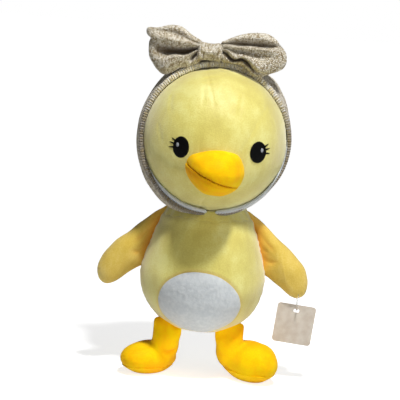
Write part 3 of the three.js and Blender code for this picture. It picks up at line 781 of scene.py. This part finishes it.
# Round the face from the top, to the duck's left as positive: how far the hood stands off
HOOD_ROUND = (-180, -150, -135, -120, -96, -71, -52, -40, -25, -8, 8, 25, 40, 52, 69, 92, 118, 147, 180)
HOOD_OFF = (2.6, 6.2, 5.4, 4.2, 3, 3.8, 5.6, 8, 10, 10, 10, 10, 13.5, 11.5, 6.6, 3.8, 2.4, 1.9, 2.4)
# Round the hem in the same way: how far out the lining and then the ribbed band reach
HEM_ROUND = (-180, -165, -150, -135, -120, -96, -60, -30, 0, 30, 60, 92, 118, 131, 147, 165, 180)
LINING_OUT = (3.4, 4.2, 3.8, 2.8, 1.1, 0.6, 0.6, 0.6, 0.6, 0.6, 0.6, 1.0, 1.9, 2.7, 3.4, 4.4, 3.6)
BAND_OUT = (4.4, 6.4, 7.4, 5.2, 4.8, 3.8, 4.4, 5.4, 5.6, 5.4, 4.6, 3.9, 3.2, 2.6, 3, 5, 4.2)

hem_turn = np.array(Matrix.Rotation(FACE_TURN, 3, "Z"))
hem_ahead = hem_turn @ (0, -math.cos(HEM_LEAN), math.sin(HEM_LEAN))
hem_up = hem_turn @ (0, math.sin(HEM_LEAN), math.cos(HEM_LEAN))
hem_aside = hem_turn @ (1, 0, 0)
hem_angle = math.acos(HEM_FORWARD * math.cos(HEM_LEAN) / HEAD_HALF[1])
BACK_END = math.pi - 0.01  # just short of the point where the rows would shrink to nothing


def hood_gap(back):
    """Half the angle that is open under the chin and at the neck, on the row at this angle."""
    under = -HEAD_HALF[1] * np.cos(back - HEM_LEAN)
    from_hem = (back - hem_angle) * HEAD_HALF[1]
    rounding = np.clip(1 - from_hem / CHIN_TIP, 0, 1)
    tip = CHIN_HALF_GAP + CHIN_TIP * (1 - np.sqrt(1 - rounding**2))
    neck = np.sqrt(np.clip(NECK_OPENING**2 - under**2, 0, None))
    ahead_of_neck = under < -NECK_OPENING * 0.99
    gap = np.where(ahead_of_neck, tip, np.maximum(neck, np.where(under < 0, tip, 0)))
    return gap / (HEAD_HALF[2] * np.sin(back))


def on_hood(back, around):
    """Points of the hood at an angle back from the face and an angle round it."""
    degrees = np.degrees(around)
    at_hem = smooth_between(HEM_ROUND, BAND_OUT, degrees) * MM - HEM_SEWN
    at_hem = np.maximum(at_hem, HEM_LOWEST)
    behind = smooth_between(HOOD_ROUND, HOOD_OFF, degrees) * MM
    off = at_hem + (behind - at_hem) * ease((back - hem_angle) / RISES_OVER)
    off = off + (BACK_OFF - off) * ease((back - SETTLES_FROM) / SETTLES_OVER)
    return round_head(back, around, off)


def round_head(back, around, off):
    ring = np.cos(around)[:, None] * hem_up + np.sin(around)[:, None] * hem_aside
    direction = np.cos(back)[:, None] * hem_ahead + np.sin(back)[:, None] * ring
    return HEAD_MIDDLE + direction * (HEAD_HALF + off[:, None])


def hood_rows(points):
    """The grid's rows run back from the hem, and its columns round the head."""
    back = hem_angle + (points[:, 1] + 0.5) * (BACK_END - hem_angle)
    return back, points[:, 0] * 2 * (math.pi - hood_gap(back))


def thicken(piece, thickness):
    """Gives a sheet of cloth its thickness, inwards."""
    choose(piece)
    wall = piece.modifiers.new("wall", "SOLIDIFY")
    wall.thickness = thickness
    wall.offset = -1
    bpy.ops.object.modifier_apply(modifier="wall")


def map_round_head(piece):
    """Lays the knit round the head, so that its columns run up it."""
    aside, ahead, up = (points_of(piece) - HEAD_MIDDLE).T
    radius = HEAD_HALF[0]
    turn = np.arctan2(aside, -ahead)
    tilt = np.arctan2(up, np.hypot(aside, ahead))
    map_cloth(piece, turn * radius, tilt * radius)


hood = cloth_grid("hood_knit_cloth", 200, 70)
mould(hood, lambda points: on_hood(*hood_rows(points)))
turn_outwards(hood)
rumple(hood, 14 * MM, 0.5 * MM, 7)
thicken(hood, KNIT_THICK)
turn_outwards(hood)
map_round_head(hood)
dress(hood, "head", "melange_knit", "hood_knit")

# %% [markdown]
# ## The hem and the lining
# The hood's edge is a ribbed band that stands up round the face. Inside it lies the white
# lining, whose own edge rolls forward over the cheeks below the eyes. Both are long tubes laid
# round the hem, whose section reaches from one distance off the head to another.
# %% Hem and lining
RIB = 2.1 * MM
HEM_HALF_DEEP = 1.8 * MM
LINING_HALF_DEEP = 4 * MM
RIB_DEPTH = 0.22
# Round the hem: how far forward of it the band starts
BAND_AHEAD = np.interp(np.abs(HEM_ROUND), (60, 96), (3, 1.2))
BAND_END_GAP = 1.5 * MM
# How much painted shade darkens the band down the sides, and over which angles from the crown
PAINTED_SIDE_SHADE, SHADE_FROM, SHADE_OVER = 0.75, 35, 45


def tube_round_hem(points, gap, inner, outer, ahead, half_deep, ribs=0.0):
    """x runs round the face, y round the tube's own section. Distances are tables in mm."""
    half = math.pi - gap / (HEAD_HALF[2] * math.sin(hem_angle))
    around = points[:, 0] * 2 * half
    section = points[:, 1] * 2 * math.pi
    degrees = np.degrees(around)
    lowest, highest, forward = (
        smooth_between(HEM_ROUND, table, degrees) * MM for table in (inner, outer, ahead)
    )
    ends = np.sqrt(np.clip(1 - np.abs(2 * points[:, 0]) ** 90, 0, 1))
    rib = 1 + ribs * np.cos(2 * math.pi * around * HEAD_HALF[0] / RIB)
    up, along = (np.sign(v) * np.abs(v) ** 0.75 for v in (np.sin(section), np.cos(section)))
    off = (lowest + highest) / 2 + (highest - lowest) / 2 * up * ends * (1 + (rib - 1) / 2)
    back = hem_angle + (half_deep * (1 - along * ends * rib) - forward) / HEAD_HALF[1]
    return round_head(back, around, off)


band_inner = np.clip(np.minimum(np.array(LINING_OUT) - 0.4, np.array(BAND_OUT) - 1.6), -0.3, None)
band = (CHIN_HALF_GAP + BAND_END_GAP, band_inner, BAND_OUT, BAND_AHEAD, HEM_HALF_DEEP, RIB_DEPTH)
hem = cloth_grid("hood_hem_rib", 1400, 16)
mould(hem, lambda points: tube_round_hem(points, *band))
turn_outwards(hem)
aside, up = (points_of(hem) - HEAD_MIDDLE)[:, [0, 2]].T
below_crown = np.degrees(np.abs(np.arctan2(aside, up)))
shade = PAINTED_SIDE_SHADE * np.clip((below_crown - SHADE_FROM) / SHADE_OVER, 0, 1)
# Painted shade: the band's colour is darkened down its sides, away from the crown
mark_painted_shade(hem, np.arange(len(aside)), shade)
map_round_head(hem)
# The band takes the lighter rib finish: painted light where the bow shades it
dress(hem, "head", "melange_knit", finish="ribbed_knit")

lining_ahead = np.interp(HEM_ROUND, (-125, -112, 82, 96), (2.6, -2.5, -2.5, 2.6))
lining_ahead[np.abs(HEM_ROUND) > 120] = 2.6
lining_inner = np.full(len(HEM_ROUND), 0.15)
roll = (CHIN_HALF_GAP, lining_inner, LINING_OUT, lining_ahead, LINING_HALF_DEEP)
lining = cloth_grid("hood_lining_plush", 400, 20)
mould(lining, lambda points: tube_round_hem(points, *roll))
turn_outwards(lining)
rumple(lining, 8 * MM, 0.25 * MM, 9)
dress(lining, "head", "white_plush", "hood_lining")


# %% [markdown]
# ## The bow
# Each loop is a pocket of doubled knit, gathered in the middle by the knot, and the gathers
# run out from the knot as deep folds. A loop is a ball whose rim follows the outline. Its
# front is moulded through fold lines from top to bottom, each with how far it stands out, so
# ridges, valleys and the rolled edges of the cloth lie where the real ones do. The courses of
# the knit follow the same lines.
# %% Bow loops
KNOT_MIDDLE = np.array((-8.6, -7, 274.4)) * MM

RIGHT_LOOP = (
    (-15, 281), (-23, 286.3), (-29, 290.8), (-33.3, 293.2), (-38.2, 294), (-43, 293.6),
    (-49, 291.9), (-55, 290.9), (-60.2, 291.1), (-62.3, 289.5), (-62, 285.5), (-58.2, 282.3),
    (-59.2, 278.3), (-59.4, 271.4), (-58, 266.1), (-54.6, 260.9), (-50.5, 256.4), (-46.1, 253.4),
    (-40, 254.5), (-33.5, 258), (-25.5, 261), (-20, 263.5), (-15, 268.5),
)
LEFT_LOOP = (
    (0, 282), (4.2, 285), (10.7, 288.5), (17.3, 291.4), (24, 292.6), (31, 293), (37.8, 292.3),
    (44.2, 289), (48.7, 284.8), (52.4, 280.5), (54.6, 274.9), (54.2, 269.4), (52, 265.2),
    (47.2, 261.9), (40.5, 259.4), (33.9, 257), (27.5, 259), (21, 263), (11, 266), (5, 266.5),
    (0, 269.5),
)
# Folds from top to bottom: places across and up, and how far out of the bow's middle, in mm
RIGHT_FOLDS = (
    ((-62, 289, 9), (-55, 290, 10), (-49, 290.9, 11), (-38, 292.4, 11), (-29, 289.2, 11),
     (-22, 284.4, 10), (-15, 280.4, 9)),
    ((-62, 287.8, 9), (-50, 288.6, 8), (-40.5, 288, 6.5), (-32.8, 285.8, 6), (-23, 281.7, 6.5),
     (-15, 279.6, 8)),
    ((-62, 286, 8), (-57, 285.8, 10), (-50.6, 284.7, 12), (-42.2, 283, 13), (-32.5, 281.6, 13),
     (-22, 279.8, 12), (-15, 278.6, 10)),
    ((-62, 277, 8), (-57, 276, 8), (-52, 274, 5), (-46, 272.2, 3), (-38, 271.7, 2),
     (-29, 272.3, 1.5), (-22.4, 275, 3), (-15, 276.6, 6)),
    ((-62, 268, 8), (-54, 263, 9), (-47, 264.3, 11), (-42.3, 266.2, 11.5), (-37, 268.6, 12),
     (-28.8, 269.2, 11.5), (-24.9, 271.3, 11), (-21, 273.8, 11), (-15, 275, 10.5)),
    ((-62, 262, 8), (-52, 259, 10), (-40, 261, 12), (-30, 264, 11.5), (-25, 266.2, 9),
     (-22.5, 269, 4), (-19.5, 271.6, 3), (-15, 273.4, 5)),
    ((-62, 255, 8), (-40, 256.5, 11), (-30, 260, 11), (-24, 262.3, 10), (-21.8, 266, 10),
     (-19.3, 269.6, 10), (-15, 271.8, 9.5)),
)
LEFT_FOLDS = (
    ((-2, 281.6, 9), (5, 284.4, 10), (11, 286.8, 11), (20, 289, 12), (31, 289.5, 12),
     (44, 286.5, 11.5), (56, 281.5, 9)),
    ((-2, 280.8, 8), (3, 281.9, 6), (10, 282.3, 4.5), (18, 282.3, 3.5), (32, 282.4, 3.5),
     (42, 282.8, 5), (47, 283, 8), (56, 280.4, 9)),
    ((-2, 279.8, 9.5), (3, 280, 11), (18, 279.8, 12), (35, 279.7, 12), (51, 279, 11),
     (56, 278.4, 9)),
    ((-2, 278.4, 9), (4, 278, 9), (10, 277, 7.5), (18.6, 276.4, 7), (32, 275, 7.5),
     (46, 272.6, 9.5), (56, 271, 9)),
    ((-2, 277.4, 10.5), (2.1, 276.9, 11), (6.9, 276.2, 11.5), (9.1, 274, 11.5), (11.4, 271.7, 11.5),
     (18.8, 272.6, 12), (24.5, 269.8, 12.5), (28.3, 266.2, 12.5), (33.4, 263, 12),
     (40.4, 262, 11), (47, 263.5, 10), (56, 266, 8)),
    ((-2, 275.6, 6), (2.1, 275.1, 4), (5.5, 273.4, 2.5), (8.3, 270.4, 2.5), (10.8, 269.4, 2.5),
     (18.6, 270.3, 3), (23.5, 267.2, 3), (27, 263.4, 4), (31.5, 260.4, 6), (40, 259, 8),
     (56, 261, 7)),
    ((-2, 273.4, 9), (1.6, 273, 9.5), (4.6, 270.8, 9.5), (6.9, 268, 9.5), (11.8, 267.2, 9.5),
     (18.5, 267.8, 10), (23, 264.2, 10), (26.7, 260.6, 9.5), (33, 257.8, 8.5), (56, 257, 7)),
)


def pillow(points, corners, middle, depth, plump=0.6):
    """Two faces that meet at an outline. The ball's own y is the pillow's depth."""
    x, y, z = points.T
    spread = np.hypot(x, z)
    turn = np.arctan2(z, x)
    radius = outline_radius(corners, middle, turn) * spread
    full = np.clip(1 - spread**2, 0, 1) ** plump
    across, up = middle[0] + radius * np.cos(turn), middle[1] + radius * np.sin(turn)
    return np.stack([across, np.sign(y) * depth * full, up], axis=1)


def folded(across, up, folds):
    """How far a loop stands out at each place, and how far down its cloth that place is."""
    levels, stands = [], []
    for fold in folds:
        x, z, out = np.array(fold).T * MM
        levels.append(smooth_between(x, z, across))
        stands.append(smooth_between(x, out, across))
    stand, down = stands[0].copy(), levels[0].mean() - levels[0]
    for k in range(len(folds) - 1):
        gap = np.maximum(levels[k] - levels[k + 1], 0.4 * MM)
        share = np.clip((levels[k] - up) / gap, 0, 1)
        stand += (stands[k + 1] - stands[k]) * ease(share)
        step = abs(np.mean(stands[k + 1] - stands[k]))
        down += share * np.hypot(step, np.mean(gap))
    down += np.clip(levels[-1] - up, 0, None) - np.clip(up - levels[0], 0, None)
    return stand, down


# How far out of the middle the cloth stands where painted shade starts to darken it, and where it is
# darkest
PAINTED_SHADE_FROM, PAINTED_SHADE_FULL = 8.5 * MM, 2.5 * MM

for word, side, corners, middle, folds in (
    ("right", -1, RIGHT_LOOP, (-41, 272.5), RIGHT_FOLDS),
    ("left", 1, LEFT_LOOP, (29, 275), LEFT_FOLDS),
):
    loop = lying_ball("bow_loop_cloth_" + word, 380, 170)
    middle = np.array(middle) * MM
    mould(loop, lambda points: pillow(points, corners, middle, 1, 0.4))
    across, full, up = points_of(loop).T
    stand, down = folded(across, up, folds)
    in_front = full < 0
    # Painted shade in the hollows of the folds, on the front only
    mark_painted_shade(loop, np.arange(len(up)), np.clip((PAINTED_SHADE_FROM - stand) / (PAINTED_SHADE_FROM - PAINTED_SHADE_FULL), 0, 1) * in_front)
    place_points(loop, np.stack([across, full * stand + KNOT_MIDDLE[1], up], axis=1))
    rumple(loop, 12 * MM, 0.8 * MM, 11 + side)
    rumple(loop, 3 * MM, 0.2 * MM, 15 + side)
    map_cloth(loop, across, down)
    turn_outwards(loop)
    dress(loop, "bow_" + word, "melange_knit", "bow_loop_" + word, fill=0.3)

# %% [markdown]
# ## The knot
# A short band of the same knit is wound round the middle of the bow. It is narrower at its
# waist, and its front sags in two folds shaped like a U.
# %% Bow knot
KNOT_HALF = np.array((10.6, 11.5, 8)) * MM


def knot_form(points):
    x, y, z = points.T
    turn = np.arctan2(z, y)
    closed = np.sqrt(np.clip(1 - np.abs(x) ** 8, 0, 1))
    waist = 0.9 + 0.1 * x**2
    sag = np.cos(2 * math.pi * (turn / 1.05 + 0.75 * x**2))
    radius = closed * waist * (1 + 0.05 * sag)
    ring = np.stack([x, radius * np.cos(turn), radius * np.sin(turn)], axis=1)
    return KNOT_MIDDLE + ring * KNOT_HALF


knot = ball("bow_knot_cloth", 160, 120)
mould(knot, lambda points: knot_form(points[:, [2, 1, 0]] * (1, 1, -1)))
turn_outwards(knot)
rumple(knot, 7 * MM, 0.6 * MM, 21)
across, ahead, up = (points_of(knot) - KNOT_MIDDLE).T
map_cloth(knot, across, np.arctan2(up, -ahead) * KNOT_HALF[2])
dress(knot, "head", "melange_knit", "bow_knot")


# %% [markdown]
# ## The body's form
# The body is a pear, widest low down. It is measured out from its middle, by a share of its
# half sizes at each angle down from the top.
# %% Body form
BODY_ANGLES = (0, 18, 26, 31, 36, 43, 50, 62, 75, 90, 120, 150, 180)
BODY_SHARES = (0.94, 0.99, 1.085, 1.18, 1.2, 1.13, 1.08, 1.012, 0.987, 1.0, 0.995, 0.96, 0.916)


def on_body(direction, lift=0.0):
    """Points of the body in these directions from its middle."""
    direction = direction / np.linalg.norm(direction, axis=1)[:, None]
    polar = np.degrees(np.arccos(np.clip(direction[:, 2], -1, 1)))
    share = smooth_between(BODY_ANGLES, BODY_SHARES, polar)
    return BODY_MIDDLE + direction * (BODY_HALF * share[:, None] + np.reshape(lift, (-1, 1)))


# %% [markdown]
# ## The patch's form
# The belly's patch is an oval bent over the body, low down in front. Its form comes before the
# body, because its rim is sewn into the body's cloth.
# %% Patch form
PATCH_TILT = math.radians(24.5)
PATCH_SHIFT = 3.4 * MM
PATCH_HALF = np.array((36.5, 33.6)) * MM
PATCH_LIFT = 0.5 * MM
PATCH_CROWN = 1.6 * MM
PATCH_SUNK = 0.9 * MM


def patch_form(points):
    spread = np.hypot(points[:, 0], points[:, 1])
    across, up = points[:, :2].T * PATCH_HALF[:, None] / BODY_HALF[0]
    bend = np.hypot(across, up)
    ahead = np.array((0, -math.cos(PATCH_TILT), -math.sin(PATCH_TILT)))
    rise = np.array((0, -math.sin(PATCH_TILT), math.cos(PATCH_TILT)))
    swing = np.array(Matrix.Rotation(-PATCH_SHIFT / BODY_HALF[0], 3, Vector(rise)))
    sideways = across[:, None] * np.array((1, 0, 0)) + up[:, None] * rise
    scale = np.where(bend > 1e-6, np.sin(bend) / np.maximum(bend, 1e-6), 1)
    direction = sideways * scale[:, None] + np.cos(bend)[:, None] * (swing @ ahead)
    crown = (1 - spread**10) * PATCH_CROWN
    return on_body(direction, np.where(points[:, 2] > 0, PATCH_LIFT + crown, -PATCH_SUNK))


# %% [markdown]
# ## The body
# Two panels of yellow velour meet in a seam down each side, which also holds the wing. The
# stuffing swells the cloth between the seams, so they lie in a shallow, puckered groove.
# %% Body
body = ball("body_velour", 240, 180)
mould(body, on_body)
for side in (-1, 1):
    down = np.radians(np.arange(30, 171, 5))
    arc = np.stack([side * np.sin(down), 0 * down, np.cos(down)], axis=1)
    # Painted shade deep in the side seams
    sew(body, on_body(arc), 1.5 * MM, 1.2 * MM, pucker=0.6 * MM, every=9 * MM, painted_shade=0.8)
rim_turn = np.radians(np.arange(0, 361, 6))
rim = patch_form(np.stack([np.cos(rim_turn), np.sin(rim_turn), 0 * rim_turn], axis=1))
# Painted shade round the patch's rim
sew(body, rim, 1.4 * MM, 1 * MM, painted_shade=0.6)
rumple(body, 20 * MM, 0.9 * MM, 31)
body_nodes = ("body_panel_front", "body_panel_back", "body_fill")
dress(body, "body", "yellow_velour", *body_nodes, fill=0.85)

# %% [markdown]
# ## The neck
# A band of gathered velour closes the neck. It runs from the shoulders up to the underside of
# the head.
# %% Neck
# Up the neck in millimetres: height, half width and half depth
NECK_HEIGHTS = (130, 134, 137, 140, 144, 148, 153)
NECK_WIDTHS = (36.5, 37.4, 37, 35.4, 32.8, 31, 30)
NECK_DEPTHS = (31, 32, 31.4, 28.8, 24.5, 20.5, 18)
GATHERS, GATHER_DEPTH = 18, 0.012
HEAD_CLEAR = 0.5 * MM


def neck_form(points):
    aside, ahead, up = points.T
    turn = np.arctan2(ahead, aside)
    out = np.clip(np.hypot(aside, ahead) * 1.2, 0, 1)
    gathers = out * (1 + GATHER_DEPTH * out * np.cos(GATHERS * turn))
    tall = NECK_HEIGHTS[0] + (NECK_HEIGHTS[-1] - NECK_HEIGHTS[0]) * np.clip(up * 0.9 + 0.5, 0, 1)
    x = smooth_between(NECK_HEIGHTS, NECK_WIDTHS, tall) * MM * gathers * np.cos(turn)
    y = smooth_between(NECK_HEIGHTS, NECK_DEPTHS, tall) * MM * gathers * np.sin(turn)
    under = np.sqrt(np.clip(1 - (x / HEAD_HALF[0]) ** 2 - (y / HEAD_HALF[1]) ** 2, 0, 1))
    highest = HEAD_MIDDLE[2] - (HEAD_HALF[2] + HEAD_CLEAR) * under
    return np.stack([x, y, np.minimum(tall * MM, highest)], axis=1)


neck = ball("neck_velour", 144, 48)
mould(neck, neck_form)
turn_outwards(neck)
rumple(neck, 12 * MM, 0.25 * MM, 33)
dress(neck, None, "yellow_velour", "neck_skin", "neck_fill")
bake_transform(neck)

# %% [markdown]
# ## The belly patch
# An oval of white plush is sewn flat onto the front of the body and reaches under it.
# %% Belly patch
patch = ball("belly_plush", 128, 64)
mould(patch, patch_form)
turn_outwards(patch)
rumple(patch, 20 * MM, 0.9 * MM, 31)
rumple(patch, 7 * MM, 0.3 * MM, 41)
dress(patch, "body", "white_plush", "belly_patch")

# %% [markdown]
# ## The wings
# Each wing is a flat pillow of gold velour, cut as two panels and sewn into the side seam of
# the body, where the stuffing is pressed flat.
# %% Wings
# Round a wing from the shoulder, in millimetres from the duck's middle and the floor
WING_OUTLINE = (
    (32, 143), (38, 140.6), (44.8, 136.6), (51.3, 131), (61, 122.4), (70.5, 114.2), (79, 106.6),
    (85.6, 98.4), (89.1, 89.2), (89.6, 82), (87.6, 76.1), (83, 72.9), (78, 72.9),
    (72, 75.8), (63.4, 82.3), (56, 88), (50.5, 91.5), (47.5, 96), (44, 114),
)
WING_MIDDLE = np.array((67, 99)) * MM
WING_HALF_THICK = 10 * MM
WING_ROOT = np.array(((38, 0, 140), (51, 0, 92))) * MM
ROOT_SHARE = 0.32  # of the wing's thickness that is left at its root
ROOT_REACH = 17 * MM
WING_PUCKERS, PUCKER_DEPTH = 46, 0.3 * MM
WING_CREASES = (
    ((45, -5, 126), (52, -6.5, 118), (58, -8, 112)),
    ((48, -4, 104), (54, -6, 102), (61, -9, 103)),
    ((47, -4, 114), (53, -6, 110)),
)


def flatten_root(piece):
    """Near the seam with the body the two panels lie close together."""
    points = points_of(piece)
    run = (WING_ROOT[1] - WING_ROOT[0])[[0, 2]]
    run /= np.linalg.norm(run)
    offset = (points - WING_ROOT[0])[:, [0, 2]]
    away = run[0] * offset[:, 1] - run[1] * offset[:, 0]
    points[:, 1] *= ROOT_SHARE + (1 - ROOT_SHARE) * np.clip(away / ROOT_REACH, 0, 1) ** 0.8
    place_points(piece, points)


def pucker_rim(piece, spread, side):
    """Small gathers all round the seam that joins the two panels."""
    points = points_of(piece)
    turn = np.arctan2(points[:, 2] - WING_MIDDLE[1], points[:, 0] - WING_MIDDLE[0])
    at_rim = np.clip((spread - 0.8) / 0.15, 0, 1) * np.clip(np.abs(points[:, 1]) / (4 * MM), 0, 1)
    lift = PUCKER_DEPTH * np.cos(WING_PUCKERS * turn + side) * at_rim
    points[:, 1] += np.sign(points[:, 1]) * lift
    place_points(piece, points)


def mirror_to(piece, side):
    """A wing or leg is made on the duck's left. For its right side, -1, it is mirrored."""
    place_points(piece, points_of(piece) * (side, 1, 1))
    turn_outwards(piece)


for word, side in (("right", -1), ("left", 1)):
    wing = lying_ball("wing_velour_" + word, 200, 120)
    spread = np.hypot(points_of(wing)[:, 0], points_of(wing)[:, 2])
    mould(wing, lambda points: pillow(points, WING_OUTLINE, WING_MIDDLE, WING_HALF_THICK, 0.5))
    flatten_root(wing)
    # Painted shade along the creases
    for crease_and_painted_shade in WING_CREASES:
        sew(wing, np.array(crease_and_painted_shade) * MM, 2 * MM, 0.9 * MM, painted_shade=0.3)
    # The root gets no dip, only painted colour: the deep orange stands in for the shade and glow inside
    # the seam
    sew(wing, WING_ROOT, 5 * MM, 0, painted_shade=0.8)
    rumple(wing, 15 * MM, 0.9 * MM, 51 + side)
    pucker_rim(wing, spread, side)
    mirror_to(wing, side)
    nodes = [f"wing_{word}_{layer}" for layer in ("front", "back", "fill")]
    dress(wing, "wing_" + word, "gold_velour", *nodes, fill=0.6)

# %% [markdown]
# ## The legs
# A leg and the top of its foot are one amber piece, on a flat sole. Two stuffed forms are
# joined and turned into one skin by a voxel remesh, then smoothed where they meet. The sole is
# the lower part of the same foot, so its edge stands just outside it. The two feet differ.
# %% Legs
HIP = np.array((26, -12, 39))
ANKLE = np.array((30, -4))
LEG_HALF_WIDTH = 12.2
# Up the leg: height, place between ankle and hip, half width and half depth
LEG_STATIONS = (
    (0.1, -1.2, 0.62, 0.7),
    (0.27, -0.5, 0.96, 0.98),
    (0.5, 0.2, 1.06, 1.0),
    (0.73, 0.65, 1, 0.9),
    (0.89, 0.92, 1.03, 0.75),
    (1.04, 1, 1, 0.5),
    (1.3, 1, 0.98, 0.3),
)
FOOT_SPLAY = math.radians(46)
SETTLE = 3 * MM  # how softly the foot's underside flattens on the floor
SOLE_SEAM = math.radians(112)
SOLE_CLOSES = math.radians(12)
SOLE_THICK = 0.5 * MM
LOWEST = (-math.inf, -math.inf, 0.3 * MM)


def leg_form(points):
    place = (points[:, 2] + 1) / 2 * (len(LEG_STATIONS) - 1)
    stations = np.arange(len(LEG_STATIONS))
    columns = np.array(LEG_STATIONS).T
    tall, to_hip, wide, deep = (smooth_between(stations, column, place) for column in columns)
    turn = np.arctan2(points[:, 1], points[:, 0])
    closing = np.clip((1 - np.abs(points[:, 2])) * 12, 0, 1) ** 0.5
    x = ANKLE[0] + to_hip * (HIP[0] - ANKLE[0]) + wide * LEG_HALF_WIDTH * closing * np.cos(turn)
    y = ANKLE[1] + to_hip * (HIP[1] - ANKLE[1]) + deep * LEG_HALF_WIDTH * closing * np.sin(turn)
    return np.stack([x, y, tall * HIP[2]], axis=1) * MM


def foot_form(points, foot, lift=0.0):
    """A puffy foot, its toe raised a little, its underside settled flat on the floor."""
    half, place, toe_up, toe_share = foot
    fuller = 1 - toe_share * points[:, 1]
    shaped = points * (np.array(half) * MM + lift)
    shaped = shaped * np.stack([fuller, 1 + 0 * fuller, fuller], axis=1)
    pitched = shaped @ np.array(Matrix.Rotation(-math.radians(toe_up), 3, "X")).T
    placed = pitched @ np.array(Matrix.Rotation(FOOT_SPLAY, 3, "Z")).T + np.array(place) * MM
    tall = placed[:, 2] / SETTLE
    settled = SETTLE * (np.logaddexp(0, tall) - math.log(2) * fade(tall, 1))
    placed[:, 2] = np.maximum(settled, 0)
    return placed


def sole_form(points, foot, side):
    """The lower part of the foot, a little outside it, closed flat above its seam."""
    polar = np.arccos(np.clip(points[:, 2], -1, 1))
    down = SOLE_SEAM + (polar / math.pi) * (math.pi - SOLE_SEAM)
    turn = np.arctan2(points[:, 1], points[:, 0])
    inward = np.clip(polar / SOLE_CLOSES, 0, 1)
    out = np.sin(down) * inward
    lower = np.stack([out * np.cos(turn), out * np.sin(turn), np.cos(down)], axis=1)
    return foot_form(lower, foot, SOLE_THICK * inward[:, None]) * (side, 1, 1)


def join_leg_and_foot(leg, foot):
    """One skin over both forms, smoothed where they meet."""
    join_into(leg, foot)
    leg.data.remesh_voxel_size = 1.1 * MM
    bpy.ops.object.voxel_remesh()
    soften = leg.modifiers.new("soften", "SMOOTH")
    soften.factor = 0.6
    soften.iterations = 16
    bpy.ops.object.modifier_apply(modifier="soften")


# Half sizes, middle, how many degrees the toe is up, and how much fuller the foot is there
RIGHT_FOOT = ((17.8, 28, 13.6), (41, -6.5, 13), 2, -0.04)
LEFT_FOOT = ((18.6, 29, 17.2), (44.6, -7.5, 16.6), 2, 0.07)
RIGHT_CREASES = (
    ((17, -12, 23), (24, -16, 21), (31, -16, 24)),
    ((15, -14, 43), (24, -20, 45), (36, -16, 49)),
    ((20, -15, 31), (27, -17, 32)),
)
LEFT_CREASES = (
    ((17, -15, 22), (22, -20, 19.5), (29, -22, 20)),
    ((24, -21, 41.5), (30, -22, 42), (38, -14, 47)),
    ((28, -22, 38), (36, -19, 41.5)),
)

for word, side, foot_sizes, creases in (
    ("right", -1, RIGHT_FOOT, RIGHT_CREASES),
    ("left", 1, LEFT_FOOT, LEFT_CREASES),
):
    leg = ball("leg_velour_" + word, 64, 48)
    mould(leg, leg_form)
    foot = ball("foot", 96, 64)
    mould(foot, lambda points: foot_form(points, foot_sizes))
    join_leg_and_foot(leg, foot)
    for crease_and_painted_shade in creases:
        # Painted shade inside each crease
        sew(leg, np.array(crease_and_painted_shade) * MM, 1.7 * MM, 2.2 * MM, reach=4 * MM, painted_shade=0.6)
    rumple(leg, 13 * MM, 1.1 * MM, 61 + side)
    mould(leg, lambda points: np.maximum(points, LOWEST))
    mirror_to(leg, side)
    dress(leg, "leg_" + word, "amber_velour", f"leg_{word}_upper", f"leg_{word}_fill", fill=0.7)
    sole = ball("sole_velour_" + word, 96, 48)
    mould(sole, lambda points: sole_form(points, foot_sizes, side))
    turn_outwards(sole)
    dress(sole, "leg_" + word, "amber_velour", f"leg_{word}_sole")

# %% [markdown]
# ## Floor
# A plain pale floor takes the duck's own soft shadow. It glows weakly, and to the camera more
# strongly the further it is from the duck, so that it meets the white background with no edge.
# %% Floor
FLOOR_GLOW = 0.1
bpy.ops.object.select_all(action="DESELECT")
bpy.ops.mesh.primitive_plane_add(size=60)
floor = bpy.context.active_object
floor.name = "floor"
floor_paint, place = start_material("white_floor")
away = add_node(floor_paint, "ShaderNodeVectorMath", {"operation": "LENGTH"}, Vector=place)
# Metres from the middle, and how bright the floor looks to the camera at each
brightness = {"From Min": 0.3, "From Max": 2.5, "To Min": 0.74, "To Max": 0.95}
seen = add_node(floor_paint, "ShaderNodeMapRange", brightness, Value=away.outputs["Value"])
straight = seen_straight(floor_paint)
level = add_node(
    floor_paint, "ShaderNodeMix", {"A": FLOOR_GLOW}, B=seen.outputs[0], Factor=straight
)
glow = add_node(
    floor_paint, "ShaderNodeEmission", {"Color": (1, 1, 1, 1)}, Strength=level.outputs[0]
)
lit = add_node(floor_paint, "ShaderNodeBsdfDiffuse", {"Color": linear("#DCDCDC")})
both = add_node(floor_paint, "ShaderNodeAddShader", i0=lit.outputs[0], i1=glow.outputs[0])
floor.data.materials.append(finish_material(floor_paint, both))
print("floor", [round(side, 1) for side in floor.dimensions])
